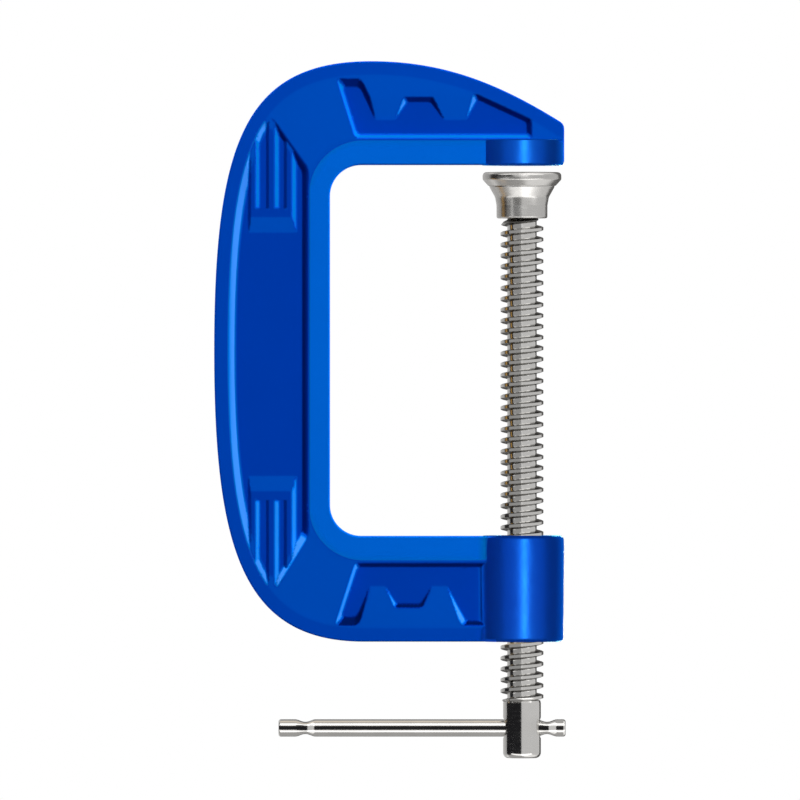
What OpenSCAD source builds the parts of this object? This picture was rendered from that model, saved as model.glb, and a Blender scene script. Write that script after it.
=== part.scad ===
// C clamp with a bowed cast frame, a ball-ended screw, a swivel pad and a sliding tommy bar.
// Millimetres. The origin is the centre of the anvil face on the screw axis.
// +Z runs up the screw, +X points away from the spine and the front of the clamp faces -Y.

/* [Assembly] */
// Node to draw

/* [Jaws] */
// Screw axis to the inner wall of the spine
throat_depth = 60; // [54:0.5:70]
// Anvil face to the top of the boss
jaw_span = 115.6; // [105:0.2:130]
// Gap between the anvil and the pad
jaw_gap = 2.1; // [2.1:0.1:95]

/* [Frame] */
// Width of the spine at its middle
spine_w = 36.2; // [33:0.2:40]
// Height of the crown above the anvil face
crown_h = 32.6; // [31:0.2:36]
// Depth of the lower arm and height of the boss
lower_arm_h = 33.2; // [32:0.2:37]
// Inside corner radius of the throat
throat_r = 9.7; // [8:0.1:12]
// Thickness across the rim of the throat
flange_t = 12.6; // [11.5:0.1:14]
// Thickness of the web at the pocket floors
web_t = 6.2; // [5:0.1:7]
// Width of the flat rim on the arms
rim_arm_w = 7.8; // [7.2:0.1:8.4]
// Width of the flat rim on the spine
rim_spine_w = 6.5; // [6:0.1:7]
// Width of the sloping band round the outside
band_w = 4.3; // [3.6:0.1:5]
// Fall of the land from the rim to the band, per millimetre
land_slope = 0.06; // [0.03:0.01:0.08]
// Fall of the band to the outer edge, per millimetre
band_slope = 0.4; // [0.2:0.05:0.5]
// Corner radius at the tip of the upper arm
tip_r = 2.5; // [1.5:0.1:3.5]

/* [Boss and anvil] */
// Diameter of the boss
boss_d = 26.4; // [24:0.2:28]
// Diameter of the anvil
anvil_d = 26; // [24:0.2:28]
// Edge break of the boss
boss_edge = 1.2; // [0.5:0.1:1.6]
// Edge break of the anvil
anvil_edge = 0.7; // [0.3:0.1:1]

/* [Pockets] */
// Plan width of the sloping pocket walls
draft_w = 1.8; // [1.2:0.1:2.2]
// Plan width of the outer wall of the spine recess
outer_draft_w = 2.4; // [1.8:0.1:3]
// Height of the slot under the upper teeth
upper_slot_h = 5.9; // [5:0.1:6.5]
// Height of the slot over the lower teeth
lower_slot_h = 7.5; // [6.5:0.1:8]
// Width of the ribbed pads in the spine recess
ribbed_w = 15; // [13:0.5:16]
// Height of the ribbed pads above the floor
ribbed_h = 1.7; // [1.2:0.1:2]
// Depth of the grooves between the ribs
groove_h = 1.2; // [0.8:0.1:1.4]
// Distance between the grooves
groove_step = 5.8; // [5.4:0.1:6.2]

/* [Screw] */
// Outside diameter of the thread
thread_d = 13.4; // [12:0.1:14]
// Root diameter of the thread
root_d = 9.2; // [8.6:0.1:10]
// Pitch of the thread
pitch = 3.4; // [3:0.1:4]
// Turns of the thread between its two faded ends
thread_turns = 44; // [41:1:47]
// Play between the thread and the boss
thread_play = 0.3; // [0.2:0.05:0.5]
// Diameter of the head
head_d = 11.8; // [11:0.1:13]
// Length of the head
head_l = 18.1; // [16:0.1:20]
// Bar axis above the end of the head
bar_up = 9.4; // [8:0.1:10]
// Diameter of the ball
ball_d = 10.4; // [9.8:0.1:10.6]
// Diameter of the neck behind the ball
neck_d = 6.8; // [6:0.1:7.2]

/* [Pad] */
// Diameter of the pad
pad_d = 24.6; // [22:0.2:26]
// Height of the pad
pad_h = 14.4; // [14:0.1:16]
// Diameter of the collar
collar_d = 15.9; // [15:0.1:17]
// Height of the rim
pad_rim_h = 3.2; // [2.6:0.1:3.6]
// Lean of the flare between the rim and the collar
flare_lean = 41; // [38:1:46]
// Radius of the curve under the rim
flare_rim_r = 1.6; // [1:0.1:2]
// Radius of the curve into the collar
flare_collar_r = 4.8; // [4:0.1:5.4]
// Play between the ball and its socket
ball_play = 0.15; // [0.1:0.05:0.2]

/* [Tommy bar] */
// Diameter of the bar
bar_d = 5.4; // [5:0.1:5.8]
// Length of the bar
bar_l = 89.7; // [80:0.1:100]
// Play between the bar and its hole
bar_play = 0.25; // [0.15:0.05:0.35]
// Spread of the bar at each pressed stop
stop_ear = 0.55; // [0.45:0.05:0.7]
// Length of the dents pressed into the bar
dent_l = 5.4; // [5:0.1:7]
// Depth of the dents
dent_h = 0.8; // [0.6:0.1:1]
// Nearer stop to the short end of the bar
short_end = 5.8; // [5:0.1:9]
// Farther stop to the long end of the bar
long_end = 8.4; // [5:0.1:10]
// Gap between the head and the nearer stop
stop_gap = 0.3; // [0.3:0.1:2]

/* [Hidden] */
$fn = 64;
eps = 0.5;

// Frame heights, and where the curves of its outline meet
inner_x = -throat_depth;
outer_x = inner_x - spine_w;
bottom_z = -jaw_span - lower_arm_h;
middle_z = (crown_h + bottom_z) / 2;
crown_x = inner_x + 0.354 * spine_w;
heel_x = inner_x + 0.293 * spine_w;
tip_x = boss_d / 2;
tip_slope = 32;
tip_center = [tip_x - tip_r, 0.354 * crown_h];
tip_start = tip_center + tip_r * [sin(tip_slope), cos(tip_slope)];
crown_corner = tip_start + (crown_h - tip_start[1]) * [-1 / tan(tip_slope), 1];
arm_end_x = -8;
rim_y = flange_t / 2;
floor_y = web_t / 2;

// Bow between two points that leans into the corner of their tangents, by a part of the way at each end
function bow(start, corner, end, pull) =
    [start, start + pull[0] * (corner - start), end + pull[1] * (corner - end), end];

crown_curve = bow(tip_start, crown_corner, [crown_x, crown_h], [0.686, 0.737]);
shoulder_curve = bow([crown_x, crown_h], [outer_x, crown_h], [outer_x, middle_z], [0.806, 0.722]);
heel_curve = bow([outer_x, middle_z], [outer_x, bottom_z], [heel_x, bottom_z], [0.684, 0.808]);

// Heights up the screw
pad_face_z = -jaw_gap;
pad_end_z = pad_face_z - pad_h;
pad_face_t = 2.9;
socket_r = ball_d / 2 + ball_play;
ball_depth = pad_face_t + socket_r;
ball_z = pad_face_z - ball_depth;
thread_into_pad = 0.4;
thread_top_z = pad_end_z + thread_into_pad;
thread_l = pitch * (thread_turns + 1);
thread_end_z = thread_top_z - thread_l;
head_top_z = thread_end_z + 0.6 * pitch;
head_end_z = head_top_z - head_l;
bar_z = head_end_z + bar_up;
bore_d = thread_d + 2 * thread_play;
hole_d = bar_d + 2 * bar_play;
bore_edge = 0.8;
head_edge = 1;

// Pad: curved flare under the rim, and the mouth that closes round the neck of the ball
pad_edge = 0.7;
collar_edge = 0.6;
flare_step = (pad_d - collar_d) / 2;
flare_r = flare_rim_r + flare_collar_r;
flare_cone = (flare_step - flare_r * (1 - cos(flare_lean))) / sin(flare_lean);
flare_h = flare_r * sin(flare_lean) + flare_cone * cos(flare_lean);
neck_play = 0.75;
lip_r = neck_d / 2 + neck_play;
lip_depth = ball_depth + sqrt(socket_r * socket_r - lip_r * lip_r);
mouth_r = lip_r + 1.5;

// Thread divisions: columns in a turn, where each part of a turn starts and the turns over which it fades
thread_n = 16;
thread_parts = [0, 0.38, 0.55, 0.83];
thread_fade = 0.75;

// Places along the bar: the round lobe of each stop meets the head beside the bar hole
bar_edge = 0.6;
lobe_r = bar_d / 2 + stop_ear;
lobe_inset = 0.25;
lobe_h = bar_d - 2 * dent_h - 2 * lobe_inset;
seat_y = sqrt(hole_d * hole_d - lobe_h * lobe_h) / 2;
seat_x = sqrt(head_d * head_d / 4 - seat_y * seat_y);
lobe_reach = sqrt(lobe_r * lobe_r - seat_y * seat_y);
stop_right_x = seat_x + stop_gap + lobe_reach;
bar_right_x = stop_right_x + short_end;
bar_left_x = bar_right_x - bar_l;
stop_left_x = bar_left_x + long_end;

// Flat between the rim and the pockets, and how far the prongs run into the slot beside the teeth
pocket_edge = 0.5;
prong_overlap = 2;

// Places in the spine recess
recess_right_x = inner_x - rim_spine_w;
recess_tip_x = inner_x - 0.51 * spine_w;
recess_corner_z = -1;
recess_overlap = 0.4;
spine_crease_y = rim_y - land_slope * (spine_w - rim_spine_w - band_w);
ribbed_x = inner_x - 0.49 * spine_w;
ribbed_foot_z = -20.5;
ribbed_crest_z = ribbed_foot_z + 4.7;
groove_end_z = ribbed_crest_z + 2.2;
groove_w = 4.5;
groove_floor_w = 1.9;

// Point and direction on a cubic curve
function curve_at(p, t) =
    pow(1 - t, 3) * p[0] + 3 * pow(1 - t, 2) * t * p[1] + 3 * (1 - t) * t * t * p[2] + pow(t, 3) * p[3];

function curve_way(p, t) =
    let (v = pow(1 - t, 2) * (p[1] - p[0]) + 2 * (1 - t) * t * (p[2] - p[1]) + t * t * (p[3] - p[2]))
    v / norm(v);

// Direction into the metal, to the left of the way round the outline
function inward(v) = [-v[1], v[0]];

// Section corners at one place round the frame: throat wall, rim edge, band crease and outer edge
function station(inner, rim, outer, way) =
    [inner, rim, outer + min(band_w, 0.8 * norm(outer - rim)) * way, outer];

function tip_stations() = [
    for (a = [0:15:60])
        let (b = min(a, 90 - tip_slope), p = tip_center + tip_r * [cos(b), sin(b)])
        station([p[0], 0], [p[0], rim_arm_w], p, [0, -1])
];

function crown_stations(n) = [
    for (i = [1:n - 1])
        let (
            t = i / n,
            p = curve_at(crown_curve, t),
            x = tip_start[0] + t * (inner_x + throat_r - tip_start[0])
        )
        station([x, 0], [x, rim_arm_w], p, inward(curve_way(crown_curve, t)))
];

// Part of the shoulder and of the heel that faces the throat corner
corner_part = 0.7;

// Throat corner turned by an angle, mirrored for the lower corner
function corner(a, r) = [inner_x + throat_r, -throat_r] + r * [-sin(a), cos(a)];

function shoulder_stations(n) = [
    for (i = [0:n])
        let (
            t = i / n,
            turn = min(1, t / corner_part),
            down = max(0, (t - corner_part) / (1 - corner_part)) * (middle_z + throat_r) * [0, 1],
            rim = throat_r + rim_arm_w + turn * (rim_spine_w - rim_arm_w)
        )
        station(
            corner(90 * turn, throat_r) + down,
            corner(90 * turn, rim) + down,
            curve_at(shoulder_curve, t),
            inward(curve_way(shoulder_curve, t))
        )
];

function flip(p) = [p[0], -jaw_span - p[1]];

function heel_stations(n) = [
    for (i = [1:n])
        let (
            t = i / n,
            turn = min(1, (1 - t) / corner_part),
            wall = jaw_span + middle_z - throat_r,
            up = min(0, (t + corner_part - 1) / (1 - corner_part)) * wall * [0, 1],
            rim = throat_r + rim_arm_w + turn * (rim_spine_w - rim_arm_w)
        )
        station(
            flip(corner(90 * turn, throat_r) + up),
            flip(corner(90 * turn, rim) + up),
            curve_at(heel_curve, t),
            inward(curve_way(heel_curve, t))
        )
];

function arm_stations() = [
    station([arm_end_x, -jaw_span], [arm_end_x, -jaw_span - rim_arm_w], [arm_end_x, bottom_z], [0, 1])
];

stations = concat(
    tip_stations(),
    crown_stations(16),
    shoulder_stations(28),
    heel_stations(28),
    arm_stations()
);

// Half thickness where the land meets the band, and at the outer edge
function crease_y(s) = rim_y - land_slope * norm(s[2] - s[1]);
function edge_y(s) = crease_y(s) - band_slope * norm(s[3] - s[2]);

function section(s) = [
    [s[0][0], -rim_y, s[0][1]],
    [s[1][0], -rim_y, s[1][1]],
    [s[2][0], -crease_y(s), s[2][1]],
    [s[3][0], -edge_y(s), s[3][1]],
    [s[3][0], edge_y(s), s[3][1]],
    [s[2][0], crease_y(s), s[2][1]],
    [s[1][0], rim_y, s[1][1]],
    [s[0][0], rim_y, s[0][1]]
];

// Triangles between two neighbouring rings of points
function strip(a, b, n) = [
    for (j = [0:n - 1], half = [0, 1])
        let (k = (j + 1) % n)
        half == 0 ? [a + j, b + j, b + k] : [a + j, b + k, a + k]
];

module beam() {
    n = 8;
    last = len(stations) - 1;
    points = [for (s = stations) each section(s)];
    sides = [for (i = [0:last - 1]) each strip(i * n, (i + 1) * n, n)];
    caps = [[for (j = [0:n - 1]) j], [for (j = [n - 1:-1:0]) last * n + j]];
    polyhedron(points, concat(sides, caps), convexity = 6);
}

// Outline put in counter-clockwise order
function area(p) = [for (i = [0:len(p) - 1]) cross(p[i], p[(i + 1) % len(p)])] * [for (q = p) 0.5];
function wound(p) = area(p) > 0 ? p : [for (i = [len(p) - 1:-1:0]) p[i]];

function normal_in(a, b) = inward((b - a) / norm(b - a));

// Convex outline with each edge moved in by its own distance
function moved_in(p, d) = [
    for (i = [0:len(p) - 1])
        let (
            n = len(p),
            before = normal_in(p[(i + n - 1) % n], p[i]),
            after = normal_in(p[i], p[(i + 1) % n]),
            c = before * after,
            d0 = d[(i + n - 1) % n],
            d1 = d[i]
        )
        d0 == d1
            ? p[i] + d1 * (before + after) / (1 + c)
            : p[i] + (d0 * (before - c * after) + d1 * (after - c * before)) / (1 - c * c)
];

// Pocket in the front face with sloping walls, each with its own plan width
module pocket(p, d) {
    n = len(p);
    over = eps / (rim_y - floor_y);
    top = moved_in(p, -over * d);
    low = moved_in(p, d);
    points = concat([for (q = top) [q[0], -rim_y - eps, q[1]]], [for (q = low) [q[0], -floor_y, q[1]]]);
    caps = [[for (j = [n - 1:-1:0]) j], [for (j = [0:n - 1]) n + j]];
    polyhedron(points, concat([for (f = strip(0, n, n)) [f[2], f[1], f[0]]], caps), convexity = 2);
}

module prong(p) {
    q = wound(p);
    pocket(q, [for (c = q) draft_w]);
}

// Sloping tooth floor that climbs from the slot to the land
module ramp(x0, x1, z0, z1) {
    over = eps / (rim_y - floor_y) * (z1 - z0);
    translate([x0, 0, 0])
        rotate([90, 0, 90])
            linear_extrude(x1 - x0)
                polygon([[-floor_y, z0], [-rim_y - eps, z1 + over], [-rim_y - eps, z0]]);
}

// Point at a height on the line through two points
function on_line(a, b, z) = a + (b - a) * (z - a[1]) / (b[1] - a[1]);

// Slot along the rim of an arm, with three prongs that leave two sloping teeth.
// Places along the arm are parts of the throat depth.
module upper_pocket() {
    t = throat_depth;
    low = rim_arm_w + pocket_edge;
    tooth = low + upper_slot_h;
    root = tooth - prong_overlap;
    mid = 0.644 * crown_h;
    end = 0.455 * crown_h;
    top = 0.837 * crown_h;
    near = [-0.854 * t, low];
    far = [-0.953 * t, top];
    peak = [-0.217 * t, mid];
    foot = [-0.46 * t, low];
    prong([[-0.2 * t, low], [-0.2 * t, tooth + draft_w], on_line(near, far, tooth + draft_w), near]);
    prong([[-0.702 * t, root], [-0.838 * t, top], far, on_line(near, far, root)]);
    prong([[-0.315 * t, root], [-0.483 * t, mid], [-0.58 * t, mid], [-0.748 * t, root]]);
    prong([[0.052 * t, low], [0.05 * t, end], peak, foot]);
    ramp(-0.85 * t, peak[0], tooth, mid);
}

module lower_pocket() {
    t = throat_depth;
    high = -jaw_span - rim_arm_w - pocket_edge;
    tooth = high - lower_slot_h;
    root = tooth + prong_overlap;
    mid = bottom_z + 0.325 * lower_arm_h;
    low = bottom_z + 0.163 * lower_arm_h;
    near = [-0.848 * t, high];
    far = [-0.955 * t, low];
    end = -0.17 * t;
    foot = [-0.522 * t, high];
    prong([[-0.3 * t, high], near, on_line(near, far, tooth - draft_w), [-0.3 * t, tooth - draft_w]]);
    prong([far, [-0.86 * t, low], [-0.732 * t, root], on_line(near, far, root)]);
    prong([[-0.633 * t, mid], [-0.535 * t, mid], [-0.387 * t, root], [-0.805 * t, root]]);
    prong([[-0.297 * t, low], [end, low], [end, high], foot]);
    ramp(-0.853 * t, -0.33 * t, tooth, mid);
}

// Ribbed pad that rises from the recess floor and runs out under the end of the recess
module ribbed_pad() {
    crest_y = -floor_y - ribbed_h;
    difference() {
        translate([ribbed_x - ribbed_w / 2, 0, 0])
            rotate([90, 0, 90])
                linear_extrude(ribbed_w)
                    polygon([
                        [-floor_y, ribbed_foot_z],
                        [eps - floor_y, ribbed_foot_z],
                        [eps - floor_y, crown_h],
                        [crest_y, crown_h],
                        [crest_y, ribbed_crest_z]
                    ]);
        for (side = [-1, 1])
            translate([ribbed_x + side * groove_step / 2, crest_y, groove_end_z])
                linear_extrude(crown_h)
                    polygon([
                        [-groove_w / 2, -eps],
                        [groove_w / 2, -eps],
                        [groove_floor_w / 2, groove_h],
                        [-groove_floor_w / 2, groove_h]
                    ]);
    }
}

// Long recess down the spine, outlined by the band crease, the rim and two slanting ends
module spine_recess() {
    left = [for (s = stations) if (s[2][0] < recess_tip_x) s[2]];
    corners = [[recess_right_x, -jaw_span - recess_corner_z], [recess_right_x, recess_corner_z]];
    n = len(left);
    outline = concat(left, corners);
    run = outer_draft_w / (spine_crease_y - floor_y);
    out = [for (i = [0:n + 1]) i < n - 1 ? -run * (rim_y - spine_crease_y) - recess_overlap : 0];
    walls = [for (i = [0:n + 1]) i < n - 1 ? run * (rim_y - floor_y) : draft_w];
    difference() {
        pocket(moved_in(outline, out), walls);
        ribbed_pad();
        translate([0, 0, 2 * middle_z])
            mirror([0, 0, 1])
                ribbed_pad();
    }
}

module boss() {
    rotate_extrude()
        polygon([
            [0, -jaw_span],
            [boss_d / 2 - boss_edge, -jaw_span],
            [boss_d / 2, -jaw_span - boss_edge],
            [boss_d / 2, bottom_z + boss_edge],
            [boss_d / 2 - boss_edge, bottom_z],
            [0, bottom_z]
        ]);
}

module anvil() {
    cylinder(d1 = anvil_d - 2 * anvil_edge, d2 = anvil_d, h = anvil_edge);
    translate([0, 0, anvil_edge])
        cylinder(d = anvil_d, h = rim_arm_w - anvil_edge);
}

// Plain bore with a countersink at each end
module bore() {
    rotate_extrude()
        polygon([
            [0, -jaw_span + eps],
            [bore_d / 2 + bore_edge + eps, -jaw_span + eps],
            [bore_d / 2, -jaw_span - bore_edge],
            [bore_d / 2, bottom_z + bore_edge],
            [bore_d / 2 + bore_edge + eps, bottom_z - eps],
            [0, bottom_z - eps]
        ]);
}

module frame() {
    color("#0047b3")
        difference() {
            union() {
                difference() {
                    beam();
                    for (side = [0, 1])
                        mirror([0, side, 0]) {
                            upper_pocket();
                            lower_pocket();
                            spine_recess();
                        }
                }
                boss();
                anvil();
            }
            bore();
        }
}

// Thread surface as columns round the screw, each one shifted up by its share of the pitch.
// One turn has a root, a rising flank, a crest and a falling flank; the ridge fades at both ends.
function thread_point(k, row) =
    let (
        turn = floor(row / 4),
        part = row % 4,
        place = turn + k / thread_n,
        full = max(0, min(1, place / thread_fade, (thread_turns - 1 / thread_n - place) / thread_fade)),
        r = root_d / 2 + (part > 1 ? full * (thread_d - root_d) / 2 : 0),
        a = 360 * k / thread_n
    )
    [r * cos(a), r * sin(a), pitch * (place + thread_parts[part])];

function thread_ring(z) = [
    for (k = [0:thread_n - 1])
        [root_d / 2 * cos(360 * k / thread_n), root_d / 2 * sin(360 * k / thread_n), z]
];

module thread() {
    n = thread_n;
    rows = 4 * thread_turns + 1;
    low = n * rows;
    high = low + n;
    points = concat(
        [for (k = [0:n - 1], row = [0:rows - 1]) thread_point(k, row)],
        thread_ring(-eps),
        thread_ring(thread_l)
    );
    sides = [
        for (k = [0:n - 2], row = [0:rows - 2], half = [0, 1])
            let (a = k * rows + row, b = a + rows)
            half == 0 ? [a, a + 1, b] : [b, a + 1, b + 1]
    ];
    seam = [
        for (row = [0:rows - 6], half = [0, 1])
            let (a = (n - 1) * rows + row, b = row + 4)
            half == 0 ? [a, a + 1, b] : [b, a + 1, b + 1]
    ];
    skirts = [
        for (k = [0:n - 2], half = [0, 1, 2, 3])
            let (a = k * rows, b = a + rows, c = a + rows - 1, d = b + rows - 1)
            half == 0 ? [low + k, a, low + k + 1] :
            half == 1 ? [low + k + 1, a, b] :
            half == 2 ? [c, high + k, d] : [d, high + k, high + k + 1]
    ];
    last = (n - 1) * rows;
    starts = [for (row = [0:3]) [last, row + 1, row]];
    ends = [for (row = [rows - 5:rows - 2]) [last + row, last + row + 1, rows - 1]];
    joins = [
        [low + n - 1, last, low],
        [low, last, 0],
        [last + rows - 1, high + n - 1, rows - 1],
        [rows - 1, high + n - 1, high]
    ];
    caps = [[for (k = [0:n - 1]) low + k], [for (k = [n - 1:-1:0]) high + k]];
    polyhedron(points, concat(sides, seam, skirts, starts, ends, joins, caps), convexity = 10);
}

module spindle() {
    color("#c9ccd0")
        difference() {
            union() {
                translate([0, 0, thread_end_z])
                    thread();
                translate([0, 0, head_end_z])
                    cylinder(d1 = head_d - 2 * head_edge, d2 = head_d, h = head_edge);
                translate([0, 0, head_end_z + head_edge])
                    cylinder(d = head_d, h = head_l - head_edge);
                translate([0, 0, thread_top_z - eps])
                    cylinder(d = neck_d, h = ball_z - thread_top_z + eps);
                translate([0, 0, ball_z])
                    sphere(d = ball_d);
            }
            translate([0, 0, bar_z])
                rotate([0, 90, 0])
                    cylinder(d = hole_d, h = 2 * head_d, center = true);
        }
}

// Outline of the pad from its face down: rim, curve, cone, curve and collar
module pad_profile() {
    turns = [0:flare_lean / 6:flare_lean];
    rim = [pad_d / 2 - flare_rim_r, -pad_rim_h];
    collar = [collar_d / 2 + flare_collar_r, -pad_rim_h - flare_h];
    polygon(concat(
        [[0, 0], [pad_d / 2 - pad_edge, 0], [pad_d / 2, -pad_edge]],
        [for (a = turns) rim + flare_rim_r * [cos(a), -sin(a)]],
        [for (a = turns) collar + flare_collar_r * [-cos(flare_lean - a), sin(flare_lean - a)]],
        [[collar_d / 2, collar_edge - pad_h], [collar_d / 2 - collar_edge, -pad_h], [0, -pad_h]]
    ));
}

// Bell-shaped pad with a flat face, a flared skirt and a collar closed round the ball
module swivel_pad() {
    color("#c4c6ca")
        translate([0, 0, pad_face_z])
            difference() {
                rotate_extrude()
                    pad_profile();
                translate([0, 0, -ball_depth])
                    sphere(r = socket_r);
                translate([0, 0, -pad_h])
                    cylinder(r1 = mouth_r, r2 = lip_r, h = pad_h - lip_depth);
                translate([0, 0, -ball_depth - socket_r])
                    cylinder(r = lip_r, h = socket_r);
            }
}

// Dents of a stop, pressed into the bar from above and below
module stop_dents() {
    r = (dent_l * dent_l / 4 + dent_h * dent_h) / (2 * dent_h);
    for (side = [-1, 1])
        translate([0, 0, side * (bar_d / 2 - dent_h + r)])
            rotate([90, 0, 0])
                cylinder(r = r, h = 2 * bar_d, center = true);
}

// Metal of a stop that spreads to the sides between the dents
module stop_lobe() {
    cylinder(r = lobe_r, h = lobe_h, center = true);
}

module tommy_bar() {
    color("#bfc2c6")
        translate([0, 0, bar_z]) {
            difference() {
                translate([bar_left_x, 0, 0])
                    rotate([0, 90, 0])
                        rotate_extrude()
                            polygon([
                                [0, 0],
                                [bar_d / 2 - bar_edge, 0],
                                [bar_d / 2, bar_edge],
                                [bar_d / 2, bar_l - bar_edge],
                                [bar_d / 2 - bar_edge, bar_l],
                                [0, bar_l]
                            ]);
                for (x = [stop_right_x, stop_left_x])
                    translate([x, 0, 0])
                        stop_dents();
            }
            for (x = [stop_right_x, stop_left_x])
                translate([x, 0, 0])
                    stop_lobe();
        }
}

frame();
spindle();
swivel_pad();
tommy_bar();
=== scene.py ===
import math

import bmesh
import bpy
import numpy as np
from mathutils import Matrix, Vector
from mathutils.geometry import delaunay_2d_cdt
from mathutils.kdtree import KDTree


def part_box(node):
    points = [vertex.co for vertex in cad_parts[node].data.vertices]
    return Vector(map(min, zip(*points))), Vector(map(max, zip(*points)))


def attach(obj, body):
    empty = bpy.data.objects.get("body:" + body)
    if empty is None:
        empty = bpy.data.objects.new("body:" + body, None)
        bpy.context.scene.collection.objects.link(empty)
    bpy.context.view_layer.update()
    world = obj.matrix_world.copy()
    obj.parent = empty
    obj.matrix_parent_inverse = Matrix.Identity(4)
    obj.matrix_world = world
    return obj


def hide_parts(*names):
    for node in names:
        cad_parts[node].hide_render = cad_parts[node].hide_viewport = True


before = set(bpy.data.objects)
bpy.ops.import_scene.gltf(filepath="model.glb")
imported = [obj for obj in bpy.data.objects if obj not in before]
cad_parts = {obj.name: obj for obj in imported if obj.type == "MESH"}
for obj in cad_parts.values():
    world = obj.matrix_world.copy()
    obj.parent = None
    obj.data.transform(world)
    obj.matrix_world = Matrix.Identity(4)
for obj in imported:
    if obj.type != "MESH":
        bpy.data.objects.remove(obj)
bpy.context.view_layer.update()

scene = bpy.context.scene

# The clamp stands as in the solids: x away from the spine, y to the back, z up the screw.
# Every length below is in millimetres, and MM turns it into the scene's metres.
MM = 0.001
QUARTER = math.pi / 2
LEAST = 1e-6

# Casting: outline
THROAT = 60.0
JAW_SPAN = 115.6
SPINE_W = 36.2
CROWN_H = 32.6
LOWER_ARM_H = 33.2
THROAT_R = 9.7
NOSE_R = 1.2
TIP_R = 2.5
TIP_X = 13.2
TIP_Z = 11.54
TIP_LEAN = math.radians(58)
TIP_RUN = 8
ARM_END_X = -8.0
FILLET_X = -13.9
INNER_X = -THROAT
OUTER_X = INNER_X - SPINE_W
BEND_X = INNER_X + THROAT_R
BOTTOM_Z = -JAW_SPAN - LOWER_ARM_H
MIDDLE_Z = (CROWN_H + BOTTOM_Z) / 2
SEAT_GAP = 0.12
# Where the bowed curves meet, and how hard each is pulled towards its corner
CROWN_CORNER_X = -18.29
CROWN_X = INNER_X + 0.354 * SPINE_W
HEEL_X = INNER_X + 0.293 * SPINE_W
JAW_PULL = (0.686, 0.737)
SHOULDER_PULL = (0.806, 0.722)
HEEL_PULL = (0.684, 0.808)
BOW_POINTS = 161
ARC_POINTS = 33
LINE_STEP = 0.25
LOOP_STEP = 0.85
# Rounded edge, and the parting line round the middle
FRONT_DRAFT = 0.15
EDGE_R = 0.45
EDGE_STEPS = 4
SEAM_HALF = 0.3
SEAM_FOOT = 0.55
SEAM_STEP = 0.1

# Casting: relief of the two faces
RIM_Y = 6.3
FLOOR_Y = 3.1
RIM_ARM_W = 7.8
RIM_SPINE_W = 6.5
BAND_W = 4.3
BAND_SHARE = 0.8
LAND_SLOPE = 0.06
BAND_SLOPE = 0.4
BRUSH_R = 0.34
PROBE = 0.04
# Drafted walls, by their width in the face
RECESS_DRAFT = 2.1
RECESS_END = 2.4
OUTER_DRAFT = 2.6
RIM_WALL = 1.5
SPINE_WALL = 1.2
SLOT_END = 2.8
FLANK = 1.5
TOOTH_FLANK = 1.85
VALLEY_END = 1.6
LOW_VALLEY_END = 2.0
# How softly the walls of the recess meet, and how far the teeth's ramp runs on below its foot
RECESS_BLEND = 0.5
OUTER_BLEND = 1.3
RAMP_RUN = 0.4
# How far the recess laps the band, and how near the floor or proud of it a rib counts as one
BAND_LAP = 0.1
RIB_NEAR = 0.4
RIB_PROUD = 0.02

# Enamel tones from darkest to lightest, as painted light and shade: shade on floors and on walls
# turned from the light, light on the rim and on walls turned to it
PAINTED_DARKEST_TONE = 0.0
PAINTED_SHADE_TONE = 0.08
FLOOR_TONE = 0.15
LAND_TONE = 0.3
BAND_TONE = 0.5
BOSS_TONE = 0.58
WALL_TONE = 0.7
RIM_TONE = 0.85
RIB_TONE = 0.92
BRIGHT_TONE = 1.0
# How softly one tone turns into the next, and how the round ends' tone wavers
TONE_EDGE = 0.25
TONE_WAVER = 0.02
WAVER_TURN, WAVER_START = 0.13, 0.7
FLOOR_DEPTH = (0.75, 0.97)
# Slopes between which a face turns into a wall, and how far a wall has to face the light
STEEP = (0.5, 0.65)
FACING = (0.4, 0.62)
DARKEST_FACING = (-0.2, 0.3)
SIDEWAYS = 0.6
UPWARDS = -0.3
SPINE_LIFT = 1.5
# Shading: the share of a gentle slope, and how the recess's slanting ends are turned
GENTLE_SHADE = 0.05
SLANT_FALL = -0.3
SLANT_TURN = 0.8
HIGH_FALL = 0.2
HIGH_TURN = 0.2

# Casting: ribbed recess of the spine
RECESS_X = INNER_X - RIM_SPINE_W
RECESS_CORNER_Z = -1.0
RECESS_TIP_X = INNER_X - 0.51 * SPINE_W
TOP_TIP_DROP = 0.6
LOW_TIP_DROP = 3.0
RIB_H = 1.7
RIB_FOOT_Z = -21.0
RIB_CREST_Z = -16.2
RIB_MIRROR_Z = -59.0
RIB_ROWS_TOP = 14
GROOVE_END_Z = -13.5
GROOVE_END_RUN = 0.5
GROOVE_END_REACH = 0.75
GROOVE_H = 1.2
# Across the ribbed pad: its left foot and top, its right top and foot
RIB_SIDES = (-85.4, -84.8, -72.0, -70.4)
# Each groove's left top, left floor, right floor and right top
GROOVES = ((-83.3, -81.9, -79.9, -79.1), (-77.4, -75.8, -74.4, -73.5))

# Rows of points along the casting's creases, by their distance from each crease
WALL_ROWS = (-0.5, -0.2, 0.1, 0.5, 1.0, 1.4, 1.75, 2.05, 2.35, 2.7, 3.05)
BAND_ROWS = (1.3, 2.0, 2.9, 3.6, 4.0, 4.3, 4.6, 5.0, 5.6, 6.2, 6.7, 7.2)
RIB_ROWS = (-0.45, -0.15, 0.15, 0.45)
SLOPE_ROWS = (-0.4, 0, 0.4)
GROOVE_END_ROWS = (-0.65, -0.25, 0.25, 0.65)
RIM_ROWS = (-0.3, 0.0, 0.3)
ANVIL_ROWS_X = (10.6, 11.0, 11.4, 11.8, 12.1, 12.4)
# How clear of each other points stand, and the steps between them
TIGHT, CLOSE, EASY = 0.2, 0.25, 0.3
TOOTH_STEP, TOOTH_CLEAR = 0.4, 0.24
FIELD_STEP, FIELD_CLEAR = 1.5, 0.85
CROSS_STEP, SHORT_STEP, ROW_STEP, LONG_STEP = 0.45, 0.5, 0.6, 0.9
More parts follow.
